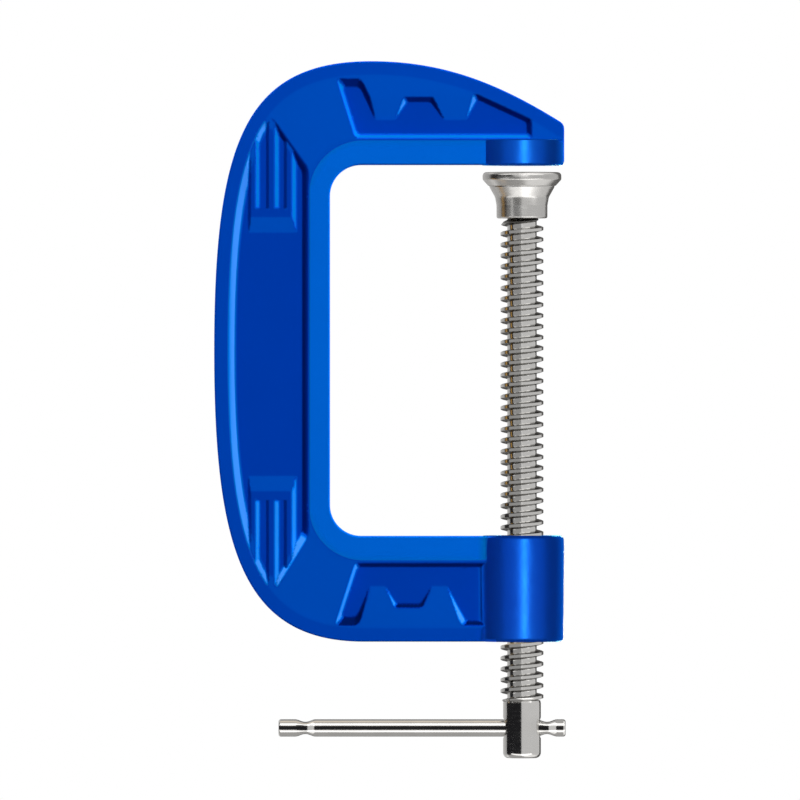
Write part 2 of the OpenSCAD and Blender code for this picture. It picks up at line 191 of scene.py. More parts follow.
# Where the close fields at the boss's foot and the anvil begin and end, and the rim's rows end
FOOT_FIELD_X, ANVIL_FIELD_X, ANVIL_FIELD_H, RIM_END_X = -14, 2, 18, -12

# Boss and anvil
BOSS_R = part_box("frame")[1].y / MM
BOSS_SINK = 0.3
BOSS_LAP = 0.05
BORE_D = 14.0
BORE_CHAMFER = 0.8
ANVIL_D = 26.0
ANVIL_H = 8.0
ANVIL_LAP = 0.1
# Where the painted shade on the jaw's turned end begins
ANVIL_SHADE_X = 10.5
ANVIL_EDGE_Y = 1.6
ANVIL_RISE = 6
ANVIL_RISE_H = 0.5
ANVIL_LOW_Z = -2
ROUND_SIDES = 128

# Screw and head
THREAD_D = 13.4
ROOT_D = 9.2
PITCH = 3.4
THREAD_TOP = -16.1
THREAD_END = -169.1
THREAD_PARTS = (0.0, 0.1, 0.2, 0.3, 0.38, 0.44, 0.5, 0.56, 0.64, 0.74, 0.82, 0.88, 0.94)
RIDGE_MIDDLE = 0.69
RIDGE_HALF = 0.23
RIDGE_FLANK = 0.2
RUN_OUT = 0.75 * PITCH
SCREW_SIDES = 48
SCREW_TRAVEL = 98.7
# How dark the thread's flanks are painted, as painted shade
PAINTED_FLANK_SHADE = 0.25
BALL_D = 10.4
BALL_Z = -10.35
NECK_D = 6.8
HEAD_D = 11.8
HEAD_TOP = -167.06
HEAD_END = -185.16
HEAD_SIDES = 96
BAR_HOLE_D = 5.9
HOLE_FLARE = 0.35
HOLE_FLARE_H = 0.75
DRILL_REACH = 9
DRILL_SPREAD = 3
DRILL_SIDES = 64
WELD = 1e-4

# Pad and bar
PAD_FACE = -2.1
PAD_END = -16.5
PAD_D = 24.6
COLLAR_D = 15.9
SOCKET_R = 5.35
LIP_R = 4.2
BAR_Z = -175.76
BAR_D = 5.4
BAR_RIGHT = 13.61
BAR_LEFT = -76.09
BAR_END_R = 0.7
BAR_END_ROWS = (0, 0.05, 0.15, 0.3, 0.5, 0.7)
BAR_STEP = 0.5
BAR_SIDES = 48
STOP_RIGHT_X = 7.81
STOP_LEFT_X = -67.69
STOP_EAR = 0.55
STOP_SQUARE = 1.1
DENT_L = 5.4
DENT_H = 0.8
DENT_RUN = 0.4


# ---- curves of the casting

def bow(start, corner, end, pull):
    """A sprung curve from start to end that leans on the corner between them."""
    a, c, b = (np.array(p, float) for p in (start, corner, end))
    t = np.linspace(0, 1, BOW_POINTS)[:, None]
    p, q = a + pull[0] * (c - a), b + pull[1] * (c - b)
    return (1 - t) ** 3 * a + 3 * (1 - t) ** 2 * t * p + 3 * (1 - t) * t * t * q + t ** 3 * b


def arc(center, radius, first, last):
    """Points on a round corner, angles in radians from +x towards +z."""
    a = np.linspace(first, last, ARC_POINTS)
    return np.stack([center[0] + radius * np.cos(a), center[1] + radius * np.sin(a)], 1)


def even(points, step):
    """The same path in even steps, without its last point."""
    points = np.array(points, float)
    run = np.concatenate([[0], np.cumsum(np.hypot(*np.diff(points, axis=0).T))])
    count = max(1, round(run[-1] / step))
    at = np.linspace(0, run[-1], count + 1)[:-1]
    return np.stack([np.interp(at, run, points[:, k]) for k in (0, 1)], 1)


def inward_of(points, closed=True):
    """Unit direction into the metal along a line that has the metal on its left."""
    if closed:
        step = np.roll(points, -1, 0) - np.roll(points, 1, 0)
    else:
        step = np.gradient(points, axis=0)
    step = step / np.hypot(step[:, 0], step[:, 1])[:, None]
    return np.stack([-step[:, 1], step[:, 0]], 1)


def outer_line():
    """From the jaw's tip over the crown, down the spine and along the lower arm."""
    tip = arc((TIP_X - TIP_R, TIP_Z), TIP_R, 0, TIP_LEAN)
    crown, waist, heel = (CROWN_X, CROWN_H), (OUTER_X, MIDDLE_Z), (HEEL_X, BOTTOM_Z)
    return [
        tip,
        bow(tip[-1], (CROWN_CORNER_X, CROWN_H), crown, JAW_PULL),
        bow(crown, (OUTER_X, CROWN_H), waist, SHOULDER_PULL),
        bow(waist, (OUTER_X, BOTTOM_Z), heel, HEEL_PULL),
        [heel, (ARM_END_X, BOTTOM_Z)],
    ]


def inner_line():
    """From the lower arm's end round the throat and out along the jaw to its tip."""
    low, high = -JAW_SPAN - SEAT_GAP, SEAT_GAP
    return [
        [(ARM_END_X, BOTTOM_Z), (ARM_END_X, low)],
        [(ARM_END_X, low), (BEND_X, low)],
        arc((BEND_X, low + THROAT_R), THROAT_R, -QUARTER, -math.pi),
        [(INNER_X, low + THROAT_R), (INNER_X, high - THROAT_R)],
        arc((BEND_X, high - THROAT_R), THROAT_R, math.pi, QUARTER),
        [(BEND_X, high), (TIP_X - NOSE_R, high)],
        arc((TIP_X - NOSE_R, high + NOSE_R), NOSE_R, -QUARTER, 0),
        [(TIP_X, high + NOSE_R), (TIP_X, TIP_Z)],
    ]


def band_line():
    """The outer line that the sloping band follows, run straight on past the jaw's tip."""
    tip, *rest = outer_line()
    past = tip[-1] + TIP_RUN * np.array([math.sin(TIP_LEAN), -math.cos(TIP_LEAN)])
    parts = [[past, tip[-1]]] + rest
    return np.concatenate([even(part, LINE_STEP) for part in parts] + [[(ARM_END_X, BOTTOM_Z)]])


def tree_of(points):
    """A search tree over points (x, z)."""
    tree = KDTree(len(points))
    for i, (x, z) in enumerate(points):
        tree.insert((x, z, 0), i)
    tree.balance()
    return tree


OUTER = band_line()
OUTER_TREE = tree_of(OUTER)


def from_outer(points):
    """Distance of each point from the outer line, and the direction away from it."""
    near = np.array([OUTER_TREE.find((x, z, 0))[1] for x, z in points])
    gaps = []
    for shift in (-1, 0):
        i = np.clip(near + shift, 0, len(OUTER) - 2)
        a, along = OUTER[i], OUTER[i + 1] - OUTER[i]
        t = np.clip(((points - a) * along).sum(1) / (along ** 2).sum(1), 0, 1)
        gaps.append(points - a - along * t[:, None])
    before, after = (np.hypot(*gap.T) for gap in gaps)
    reach = np.minimum(before, after)
    away = np.where((after < before)[:, None], gaps[1], gaps[0])
    return reach, away / np.maximum(reach, LEAST)[:, None]


# ---- relief of the casting

def soft_min(a, b, blend):
    """The smaller of two distances, rounded where they meet."""
    mix = np.clip(0.5 + 0.5 * (b - a) / blend, 0, 1)
    return b + (a - b) * mix - blend * mix * (1 - mix)


def ease(value, low, high):
    """From 0 at low to 1 at high, with a soft start and end."""
    t = np.clip((value - low) / (high - low), 0, 1)
    return t * t * (3 - 2 * t)


def on_line(a, b, z):
    """The point at height z on the line through a and b."""
    return (a[0] + (b[0] - a[0]) * (z - a[1]) / (b[1] - a[1]), z)


def side_of(a, b, x, z):
    """Distance to the left of the line from a to b."""
    length = math.hypot(b[0] - a[0], b[1] - a[1])
    return ((b[0] - a[0]) * (z - a[1]) - (b[1] - a[1]) * (x - a[0])) / length


def edges_of(corners):
    """Start, direction, length and inward side of each edge of a convex slot."""
    p = np.array(corners, float)
    q = np.roll(p, -1, 0)
    turn = np.sign((p[:, 0] * q[:, 1] - q[:, 0] * p[:, 1]).sum())
    length = np.hypot(*(q - p).T)
    along = (q - p) / length[:, None]
    return p, along, length, np.stack([-along[:, 1], along[:, 0]], 1) * turn


def inside_by(slot, x, z):
    """How far down the walls of a slot a point lies: 0 at the top edge, 1 on the floor."""
    corners, drafts, blend = slot
    start, _, _, inward = edges_of(corners)
    depth = None
    for s, n, draft in zip(start, inward, drafts):
        d = ((x - s[0]) * n[0] + (z - s[1]) * n[1]) / draft
        depth = d if depth is None else soft_min(depth, d, blend)
    return depth


# A pocket is its slots and its teeth's ramp. A slot is its corners, the draft of the wall at each
# edge and how softly the walls meet; the ramp is its two ends along x, its foot and its top.

def upper_pocket():
    """The jaw arm's toothed pocket, set out by shares of the throat and of the crown."""
    t = THROAT
    low, tooth, root = 8.3, 14.2, 12.2
    mid, apex, end, top = (share * CROWN_H for share in (0.657, 0.697, 0.444, 0.837))
    near, far = (-0.87 * t, low), (-0.969 * t, top)
    lip = tooth + RIM_WALL
    slots = [
        ([(-0.2 * t, low), (-0.2 * t, lip), on_line(near, far, lip), near],
         (FLANK, RIM_WALL, SPINE_WALL, RIM_WALL), 1.0),
        ([(-0.719 * t, root), (-0.837 * t, top), far, on_line(near, far, low + RIM_WALL)],
         (FLANK, SLOT_END, SPINE_WALL, RIM_WALL), 0.8),
        ([(-0.349 * t, root), (-0.464 * t, mid), (-0.616 * t, mid), (-0.723 * t, root)],
         (FLANK, VALLEY_END, TOOTH_FLANK, RIM_WALL), 0.4),
        ([(0.052 * t, low), (0.05 * t, end), (-0.248 * t, apex), (-0.382 * t, low)],
         (FLANK, FLANK, TOOTH_FLANK, RIM_WALL), 0.6),
    ]
    return slots, (-0.85 * t, -0.2 * t, tooth, mid)


def lower_pocket():
    """The screw arm's toothed pocket, set out by shares of the throat and of the arm."""
    t = THROAT
    high, tooth, root = -123.9, -131.4, -129.4
    mid, low, top = (BOTTOM_Z + share * LOWER_ARM_H for share in (0.3, 0.149, 0.22))
    near, far = (-0.869 * t, high), (-0.978 * t, low)
    lip = tooth - RIM_WALL
    end = -0.17 * t
    slots = [
        ([(-0.3 * t, high), near, on_line(near, far, lip), (-0.3 * t, lip)],
         (RIM_WALL, SPINE_WALL, RIM_WALL, FLANK), 1.0),
        ([far, (-0.853 * t, low), (-0.748 * t, root), on_line(near, far, high - RIM_WALL)],
         (SLOT_END, FLANK, RIM_WALL, SPINE_WALL), 0.8),
        ([(-0.67 * t, mid), (-0.512 * t, mid), (-0.41 * t, root), (-0.772 * t, root)],
         (LOW_VALLEY_END, TOOTH_FLANK, RIM_WALL, TOOTH_FLANK), 0.4),
        ([(-0.312 * t, low), (end, low), (end, high), (-0.495 * t, high)],
         (VALLEY_END, FLANK, RIM_WALL, TOOTH_FLANK), 0.6),
    ]
    return slots, (-0.853 * t, -0.27 * t, tooth, top)


def recess_tips():
    """Where the recess's slanting ends meet the band, at the top and at the bottom."""
    inset = OUTER + BAND_W * inward_of(OUTER, closed=False)
    top = inset[(inset[:, 1] > MIDDLE_Z) & (inset[:, 0] < RECESS_TIP_X)][0]
    low = inset[(inset[:, 1] < MIDDLE_Z) & (inset[:, 0] < RECESS_TIP_X)][-1]
    return top - (0, TOP_TIP_DROP), low - (0, LOW_TIP_DROP)


TIP_TOP, TIP_LOW = recess_tips()
CORNER_TOP = (RECESS_X, RECESS_CORNER_Z)
CORNER_LOW = (RECESS_X, -JAW_SPAN)
UPPER = upper_pocket()
LOWER = lower_pocket()


def pocket_height(pocket, x, z, base):
    """Height inside a pocket, and where it is the sloping top of a tooth."""
    slots, (x0, x1, foot, top) = pocket
    wall = np.ones(np.shape(x))
    for slot in slots:
        wall = np.minimum(wall, np.maximum(0, 1 - inside_by(slot, x, z)))
    up = (z - foot) / (top - foot)
    in_ramp = (x > x0) & (x < x1)
    on_tooth = in_ramp & (up > 0) & (up < wall)
    wall = np.where(in_ramp & (up > -RAMP_RUN), np.minimum(wall, np.maximum(0, up)), wall)
    return FLOOR_Y + (base - FLOOR_Y) * wall, on_tooth


def on_upper_pad(z):
    """The height on the upper ribbed pad that answers to a height on either pad."""
    return np.where(z > RIB_MIRROR_Z, z, 2 * RIB_MIRROR_Z - z)


def at_groove_end(x, z):
    """Where the grooves of the ribbed pads end."""
    across = (x > RIB_SIDES[0]) & (x < RIB_SIDES[3])
    return (np.abs(on_upper_pad(z) - GROOVE_END_Z) < GROOVE_END_REACH) & across


def ribs_height(x, up):
    """A ribbed pad's height over the floor, and where it is the slope at the pad's end."""
    foot_left, top_left, top_right, foot_right = RIB_SIDES
    slope = (up - RIB_FOOT_Z) / (RIB_CREST_Z - RIB_FOOT_Z)
    side = np.minimum((x - foot_left) / (top_left - foot_left),
                      (foot_right - x) / (foot_right - top_right))
    body = RIB_H * np.clip(np.minimum(slope, side), 0, 1)
    run = np.clip((up - GROOVE_END_Z) / GROOVE_END_RUN + 0.5, 0, 1)
    for left, left_floor, right_floor, right in GROOVES:
        cut = np.minimum((x - left) / (left_floor - left), (right - x) / (right - right_floor))
        body = body - GROOVE_H * np.clip(cut, 0, 1) * run
    return np.maximum(body, 0), (slope > 0) & (slope < 1) & (side > slope)


def recess_height(x, z, d_out, base):
    """The ribbed recess, its height without ribs, and where the ribs slope and stand out."""
    slant = side_of(CORNER_TOP, TIP_TOP, x, z) / RECESS_DRAFT
    d = soft_min((RECESS_X - x) / RECESS_DRAFT, slant, RECESS_BLEND)
    d = soft_min(d, side_of(TIP_LOW, CORNER_LOW, x, z) / RECESS_END, RECESS_BLEND)
    d = soft_min(d, (d_out - BAND_W + BAND_LAP) / OUTER_DRAFT, OUTER_BLEND)
    plain = FLOOR_Y + (base - FLOOR_Y) * np.clip(1 - d, 0, 1)
    rib, sloping = ribs_height(x, on_upper_pad(z))
    ribbed = np.minimum(base, np.maximum(plain, FLOOR_Y + rib))
    return ribbed, plain, sloping & (plain < FLOOR_Y + RIB_NEAR), ribbed > plain + RIB_PROUD


def rim_reach(turn):
    """The rim's outer edge from the throat's bend, widening from the spine to the arms."""
    return THROAT_R + RIM_SPINE_W + (RIM_ARM_W - RIM_SPINE_W) * turn


def past_rim(x, z):
    """Distance beyond the flat rim round the throat, negative on the rim itself."""
    d = np.where(z > MIDDLE_Z, z - RIM_ARM_W, -JAW_SPAN - RIM_ARM_W - z)
    bend_z = np.where(z > MIDDLE_Z, -THROAT_R, -JAW_SPAN + THROAT_R)
    dx, dz = BEND_X - x, np.abs(z - bend_z)
    beyond = np.where(z > MIDDLE_Z, z > bend_z, z < bend_z)
    turn = np.arctan2(np.maximum(dz, LEAST), np.maximum(dx, LEAST)) / QUARTER
    d = np.where((dx > 0) & beyond, np.hypot(dx, dz) - rim_reach(turn), d)
    return np.where((dx > 0) & ~beyond, dx - THROAT_R - RIM_SPINE_W, d)


def past_rim_line(off):
    """The rim's outer edge round the throat, moved outwards by off."""
    turn = np.linspace(0, 1, 40)
    reach = rim_reach(turn) + off
    x, dz = BEND_X - reach * np.cos(turn * QUARTER), reach * np.sin(turn * QUARTER)
    upper, lower = RIM_ARM_W + off, -JAW_SPAN - RIM_ARM_W - off
    return np.concatenate([
        np.stack([x, dz - THROAT_R], 1),
        np.stack([x, THROAT_R - JAW_SPAN - dz], 1),
        even([(BEND_X, upper), (TIP_X, upper)], LONG_STEP),
        even([(BEND_X, lower), (RIM_END_X, lower)], LONG_STEP),
    ])


def at_anvil(x, z, height, tone):
    """The jaw's end, turned round with the anvil below it, its far part painted in shade."""
    radius = ANVIL_D / 2 - ANVIL_LAP
    turned_end = np.maximum(np.sqrt(np.maximum(0, radius ** 2 - x * x)), ANVIL_EDGE_Y)
    top = ANVIL_H + ANVIL_LAP
    turned_end = turned_end + ANVIL_RISE * ease(z, ANVIL_H - ANVIL_RISE_H, top)
    near = (x > 0) & (z > ANVIL_LOW_Z) & (z < top)
    height = np.where(near, np.minimum(height, turned_end), height)
    # The far part of the turned end is painted in shade
    return height, np.where(near & (x > ANVIL_SHADE_X), PAINTED_SHADE_TONE, tone)


def at_boss(x, z, height, tone):
    """The round foot with which the screw arm's face runs up the boss."""
    radius = BOSS_R - BOSS_SINK
    foot = (FILLET_X ** 2 + height ** 2 - radius ** 2) / (2 * (radius - height))
    reach = -FILLET_X / np.hypot(FILLET_X, height + foot)
    t = np.clip((x - FILLET_X) / foot, 0, 1)
    rise = height + foot - foot * np.sqrt(1 - t * t)
    under = np.sqrt(np.maximum(radius ** 2 - x * x, 0)) - BOSS_LAP
    near = (z < MIDDLE_Z) & (x > FILLET_X)
    height = np.where(near, np.where(x < FILLET_X + foot * reach, rise, under), height)
    return height, np.where(near, tone + (BOSS_TONE - tone) * np.minimum(t / reach, 1), tone)


def relief(x, z, d_out):
    """Height of the casting's face over its middle plane, its tone, and where it is a rib."""
    d_rim = past_rim(x, z)
    width = np.maximum(d_out + np.maximum(d_rim, 0), 0.1)
    band = np.minimum(BAND_W, BAND_SHARE * width)
    land = np.minimum(np.maximum(d_rim, 0), np.maximum(width - band, 0))
    base = RIM_Y - LAND_SLOPE * land - BAND_SLOPE * np.maximum(0, band - d_out)
    above, on_above = pocket_height(UPPER, x, z, base)
    below, on_below = pocket_height(LOWER, x, z, base)
    sunk = np.minimum(above, below)
    ribbed, plain, sloping, on_rib = recess_height(x, z, d_out, base)
    depth = (base - np.minimum(sunk, plain)) / np.maximum(base - FLOOR_Y, 0.2)
    # Painted light and shade: the rim lighter, the land and band darker, the pockets' floors
    # darkest
    tone = RIM_TONE + (LAND_TONE - RIM_TONE) * ease(d_rim, -TONE_EDGE, TONE_EDGE)
    tone = tone + (BAND_TONE - LAND_TONE) * ease(band - d_out, -TONE_EDGE, TONE_EDGE)
    tone = tone + (FLOOR_TONE - tone) * ease(np.clip(depth, 0, 1), *FLOOR_DEPTH)
    tone = np.where(on_above | on_below | sloping, LAND_TONE, tone)
    height, tone = at_anvil(x, z, np.minimum(sunk, ribbed), tone)
    return *at_boss(x, z, height, tone), on_rib


def wall_tone(x, z, slope_x, slope_z, tone, on_rib):
    """The tone where the face is steep: painted light on walls turned to the light, painted shade
    on walls turned from it.
    """
    slope = np.maximum(np.hypot(slope_x, slope_z), LEAST)
    to_right, to_top = -slope_x / slope, -slope_z / slope
    by_boss = (x > FILLET_X) & (z < MIDDLE_Z) & (np.abs(to_top) < SIDEWAYS)
    groove_end = at_groove_end(x, z) & on_rib & (np.abs(slope_z) > np.abs(slope_x))
    steep = ease(slope, *STEEP) * ~by_boss * ~groove_end
    in_lower = (z < -JAW_SPAN) & (x > INNER_X)
    in_upper = (z > 0) & (x > INNER_X)
    # Painted shade on walls turned from the light, darkest in the lower pocket; painted light on
    # walls turned to it
    painted_shade = PAINTED_SHADE_TONE + (PAINTED_DARKEST_TONE - PAINTED_SHADE_TONE) * in_lower * ease(to_top, *DARKEST_FACING)
    painted_shade = np.where(on_rib, FLOOR_TONE, painted_shade)
    painted_light = np.where(in_upper & (to_top > UPWARDS), WALL_TONE, BRIGHT_TONE)
    painted_light = np.where(on_rib, np.where(z > MIDDLE_Z, WALL_TONE, RIB_TONE), painted_light)
    lift = np.where(in_lower, -1, np.where(x < INNER_X, SPINE_LIFT, 1) * to_top)
    share = ease(np.maximum(to_right, lift), *FACING)
    return tone + (painted_shade + (painted_light - painted_shade) * share - tone) * steep


def brush(reach):
    """A round of small steps over which edges of the relief are rounded off."""
    steps = [(0.0, 0.0)]
    for part, turn in ((0.5, 0.0), (1.0, math.pi / 6)):
        for k in range(6):
            a = turn + k * math.pi / 3
            steps.append((reach * part * math.cos(a), reach * part * math.sin(a)))
    return np.array(steps)


def rounded_relief(points):
    """Height, slope (x, z) for shading and tone at each point, with the edges rounded."""
    d_out, away = from_outer(points)
    steps = brush(BRUSH_R)
    height = tone = slope_x = slope_z = 0
    for sx, sz in steps:
        x, z = points[:, 0] + sx, points[:, 1] + sz
        d = d_out + sx * away[:, 0] + sz * away[:, 1]
        h, t, on_rib = relief(x, z, d)
        to_x = (relief(x + PROBE, z, d + PROBE * away[:, 0])[0] - h) / PROBE
        to_z = (relief(x, z + PROBE, d + PROBE * away[:, 1])[0] - h) / PROBE
        height, tone = height + h, tone + wall_tone(x, z, to_x, to_z, t, on_rib)
        slope_x, slope_z = slope_x + h * sx, slope_z + h * sz
    spread = (steps[:, 0] ** 2).sum()
    slope_x, slope_z = slope_x / spread, slope_z / spread
    x, z = points.T
    # The recess's slanting ends are shaded towards the light, and its groove ends flat
    in_spine = x < INNER_X
    low_end = in_spine & (z < MIDDLE_Z) & (slope_x > 0) & (slope_z < SLANT_FALL)
    slope_x = np.where(low_end, -SLANT_TURN * slope_x, slope_x)
    high_end = in_spine & (z > MIDDLE_Z) & (slope_x < 0) & (slope_z > HIGH_FALL)
    slope_z = np.where(high_end, HIGH_TURN * slope_z, slope_z)
    slope_z = np.where(at_groove_end(x, z), 0, slope_z)
    return height / len(steps), slope_x, slope_z, tone / len(steps)


# ---- points of the casting's face

def along_edges(corners, depths, step):
    """Rows of points beside the edges of a slot, at these depths inside it."""
    start, along, length, inward = edges_of(corners)
    rows = []
    for s, a, l, n in zip(start, along, length, inward):
        for depth in depths:
            at = np.arange(-1.0, l + 1.0, step)[:, None]
            row = s + a * at + n * depth
            least = np.min([(row - s2) @ n2 for s2, n2 in zip(start, inward)], 0)
            rows.append(row[least > depth - LEAST])
    return np.concatenate(rows)


def line_rows(a, b, step, offsets=(0,)):
    """Rows of points along the line from a to b, offset to its left."""
    a, b = np.array(a, float), np.array(b, float)
    length = math.hypot(*(b - a))
    along = (b - a) / length
    left = np.array([-along[1], along[0]])
    at = np.arange(0, length + step / 2, step)[:, None]
    return np.concatenate([a + along * at + left * off for off in offsets])


def lattice(x0, x1, z0, z1, step):
    """Staggered points over a rectangle."""
    rows = []
    for k, z in enumerate(np.arange(z0, z1, step * 0.866)):
        xs = np.arange(x0 + (k % 2) * step / 2, x1, step)
        rows.append(np.stack([xs, np.full(len(xs), z)], 1))
    return np.concatenate(rows)


class Sieve:
    """Keeps points that stand clear of those already kept."""

    def __init__(self, cell=0.6):
        self.cell, self.cells, self.kept = cell, {}, []

    def add(self, points, clear):
        reach = math.ceil(clear / self.cell)
        for x, z in points:
            i, k = math.floor(x / self.cell), math.floor(z / self.cell)
            near = (q for a in range(i - reach, i + reach + 1)
                    for b in range(k - reach, k + reach + 1)
                    for q in self.cells.get((a, b), ()))
            if all((x - qx) ** 2 + (z - qz) ** 2 >= clear * clear for qx, qz in near):
                self.cells.setdefault((i, k), []).append((x, z))
                self.kept.append((x, z))


def face_points(rim_loop, loop, outer_count):
    """The rim loop first, then rows along every crease and wall, then a filling lattice."""
    sieve = Sieve()
    sieve.add(rim_loop, 0.0)
    inward = inward_of(loop)
    for depth in BAND_ROWS:
        row = loop[:outer_count] + inward[:outer_count] * depth
        reach, _ = from_outer(row)
        sieve.add(row[reach > depth - 0.05], TIGHT)
    sieve.add((loop + inward * BAND_ROWS[0])[outer_count:], CLOSE)
    for slots, (x0, x1, foot, top) in (UPPER, LOWER):
        for corners, _, _ in slots:
            sieve.add(along_edges(corners, WALL_ROWS, ROW_STEP), TIGHT)
        sieve.add(lattice(x0, x1, min(foot, top), max(foot, top), TOOTH_STEP), TOOTH_CLEAR)
    sieve.add(line_rows(CORNER_LOW, CORNER_TOP, LONG_STEP, WALL_ROWS), TIGHT)
    sieve.add(line_rows(CORNER_TOP, TIP_TOP, SHORT_STEP, WALL_ROWS), TIGHT)
    sieve.add(line_rows(TIP_LOW, CORNER_LOW, SHORT_STEP, WALL_ROWS), TIGHT)
    marks = [x + off for x in sum(GROOVES, RIB_SIDES) for off in RIB_ROWS]
    levels = [z + off for z in (RIB_FOOT_Z, RIB_CREST_Z) for off in SLOPE_ROWS]
    levels += [GROOVE_END_Z + off for off in GROOVE_END_ROWS]
    left, right = RIB_SIDES[0] - 1, RIB_SIDES[3] + 1
    down = [line_rows((x, RIB_FOOT_Z - 1), (x, RIB_ROWS_TOP), ROW_STEP) for x in marks]
    across = [line_rows((left, z), (right, z), CROSS_STEP) for z in levels]
    for rows in (np.concatenate(down), np.concatenate(across)):
        sieve.add(rows, TIGHT)
        sieve.add(rows * (1, -1) + (0, 2 * RIB_MIRROR_Z), TIGHT)
    for off in RIM_ROWS:
        sieve.add(past_rim_line(off), CLOSE)
    sieve.add(lattice(FOOT_FIELD_X, ARM_END_X, BOTTOM_Z, -JAW_SPAN, SHORT_STEP), EASY)
    sieve.add(lattice(ANVIL_FIELD_X, TIP_X, 0, ANVIL_FIELD_H, SHORT_STEP), EASY)
    for x in ANVIL_ROWS_X:
        sieve.add(line_rows((x, 0), (x, ANVIL_H), SHORT_STEP), TIGHT)
    sieve.add(lattice(OUTER_X, TIP_X, BOTTOM_Z, CROWN_H, FIELD_STEP), FIELD_CLEAR)
    return sieve.kept


# ---- making pieces

def placed(name, data):
    """An object of the scene that shows a mesh, a light or a camera."""
    obj = bpy.data.objects.new(name, data)
    scene.collection.objects.link(obj)
    return obj


def solid(name, verts, faces):
    """A mesh object from points in millimetres."""
    mesh = bpy.data.meshes.new(name)
    mesh.from_pydata([(x * MM, y * MM, z * MM) for x, y, z in verts], [], faces)
    return placed(name, mesh)


def smooth(mesh, sharp=None):
    """Smooth shading, with edges left sharp over an angle in degrees."""
    mesh.polygons.foreach_set("use_smooth", [True] * len(mesh.polygons))
    mesh.update()
    if sharp is not None:
        mesh.set_sharp_from_angle(angle=math.radians(sharp))


def piece(name, verts, faces, finish, slot, body, normals=None, sharp=None, **tones):
    """A mesh piece with its finish, riding on a body of the clamp."""
    obj = solid(name, verts, faces)
    mesh = obj.data
    for label, tone in tones.items():
        mesh.attributes.new(label, "FLOAT", "POINT").data.foreach_set("value", tone)
    smooth(mesh, sharp)
    if normals is not None:
        mesh.normals_split_custom_set_from_vertices(normals)
    mesh.materials.append(finish)
    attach(obj, body)
    return obj


def between(rings):
    """Faces from each ring of points to the next."""
    faces = []
    for a, b in zip(rings, rings[1:]):
        for k in range(len(a)):
            j = (k + 1) % len(a)
            face = tuple(dict.fromkeys((a[k], b[k], b[j], a[j])))
            if len(face) > 2:
                faces.append(face)
    return faces


def face_mesh(inset, loop, outer_count):
    """Points and triangles of one face, and the points on its border."""
    points = face_points(inset, loop, outer_count)
    ring = list(range(len(loop)))
    flat, _, triangles, source, _, _ = delaunay_2d_cdt(
        [Vector(p) for p in points], [], [ring], 1, 1e-5)
    place = {k: i for i, ids in enumerate(source) for k in ids}
    used = sorted({i for t in triangles for i in t})
    renumber = {old: new for new, old in enumerate(used)}
    flat = np.array([flat[i] for i in used], float)
    triangles = [tuple(renumber[i] for i in t) for t in triangles]
    return flat, triangles, [renumber[place[k]] for k in ring]


def edge_rows(inset, loop, outward, height, fall):
    """Rows round the casting's edge, front to back: place, y, and the normal's two shares."""
    first = np.arctan(np.clip(fall, 0, 2))
    radius = EDGE_R / (1 - np.sin(first))
    front = []
    for k in range(1, EDGE_STEPS + 1):
        a = first + (QUARTER - first) * k / EDGE_STEPS
        out = radius * (np.sin(a) - np.sin(first))
        y = -(height - radius * (np.cos(first) - np.cos(a)))
        front.append((inset + outward * out[:, None], y, np.sin(a), -np.cos(a)))
    level = np.zeros(len(loop))
    front.append((loop - outward * SEAM_STEP, level - SEAM_FOOT, level + 1, level))
    front.append((loop, level - SEAM_HALF, level + 1, level))
    return front + [(p, -y, s, -c) for p, y, s, c in reversed(front)]


def cast_frame(finish):
    """The bowed casting: two relief faces, rounded edges and a parting line between them."""
    outer = np.concatenate([even(s, LOOP_STEP) for s in outer_line()])
    loop = np.concatenate([outer] + [even(s, LOOP_STEP) for s in inner_line()])
    outward = -inward_of(loop)
    inset = loop - outward * (EDGE_R + FRONT_DRAFT)
    flat, triangles, border = face_mesh(inset, loop, len(outer))
    height, slope_x, slope_z, tone = rounded_relief(flat)
    count = len(flat)
    verts = [(x, side * h, z) for side in (-1, 1) for (x, z), h in zip(flat, height)]
    soft = GENTLE_SHADE + (1 - GENTLE_SHADE) * ease(np.hypot(slope_x, slope_z), *STEEP)
    lean = np.stack([-slope_x * soft, -np.ones(count), -slope_z * soft], 1)
    lean /= np.linalg.norm(lean, axis=1)[:, None]
    normals = [(nx, side * ny, nz) for side in (1, -1) for nx, ny, nz in lean]
    tones = list(tone) * 2
    faces = triangles + [tuple(i + count for i in reversed(t)) for t in triangles]
    fall = -(slope_x[border] * outward[:, 0] + slope_z[border] * outward[:, 1])
    numbers = [border]
    for place, y, s, c in edge_rows(inset, loop, outward, height[border], fall):
        numbers.append(list(range(len(verts), len(verts) + len(loop))))
        verts += [(p[0], h, p[1]) for p, h in zip(place, y)]
        normals += [(o[0] * si, ci, o[1] * si) for o, si, ci in zip(outward, s, c)]
        tones += list(tone[border])
    numbers.append([i + count for i in border])
    faces += between(numbers)
    return piece("casting", verts, faces, finish, "blue_enamel", "frame", normals, relief=tones)


def rounded(corners, steps=5):
    """A profile of (radius, height, corner radius) points with its corners rounded."""
    line = []
    for k, (r, z, bend) in enumerate(corners):
        if bend <= 0 or k in (0, len(corners) - 1):
            line.append((r, z))
            continue
        p = np.array([r, z])
        a, b = np.array(corners[k - 1][:2]) - p, np.array(corners[k + 1][:2]) - p
        la, lb = np.linalg.norm(a), np.linalg.norm(b)
        a, b = a / la, b / lb
        half = math.acos(np.clip(a @ b, -1, 1)) / 2
        bend = min(bend, 0.49 * min(la, lb) * math.tan(half))
        middle = p + (a + b) / np.linalg.norm(a + b) * bend / math.sin(half)
        first, last = (p + leg * bend / math.tan(half) - middle for leg in (a, b))
        sweep = math.pi - 2 * half
        for i in range(steps + 1):
            t = i / steps
            v = first * math.sin((1 - t) * sweep) + last * math.sin(t * sweep)
            line.append(tuple(middle + v / math.sin(sweep)))
    return line


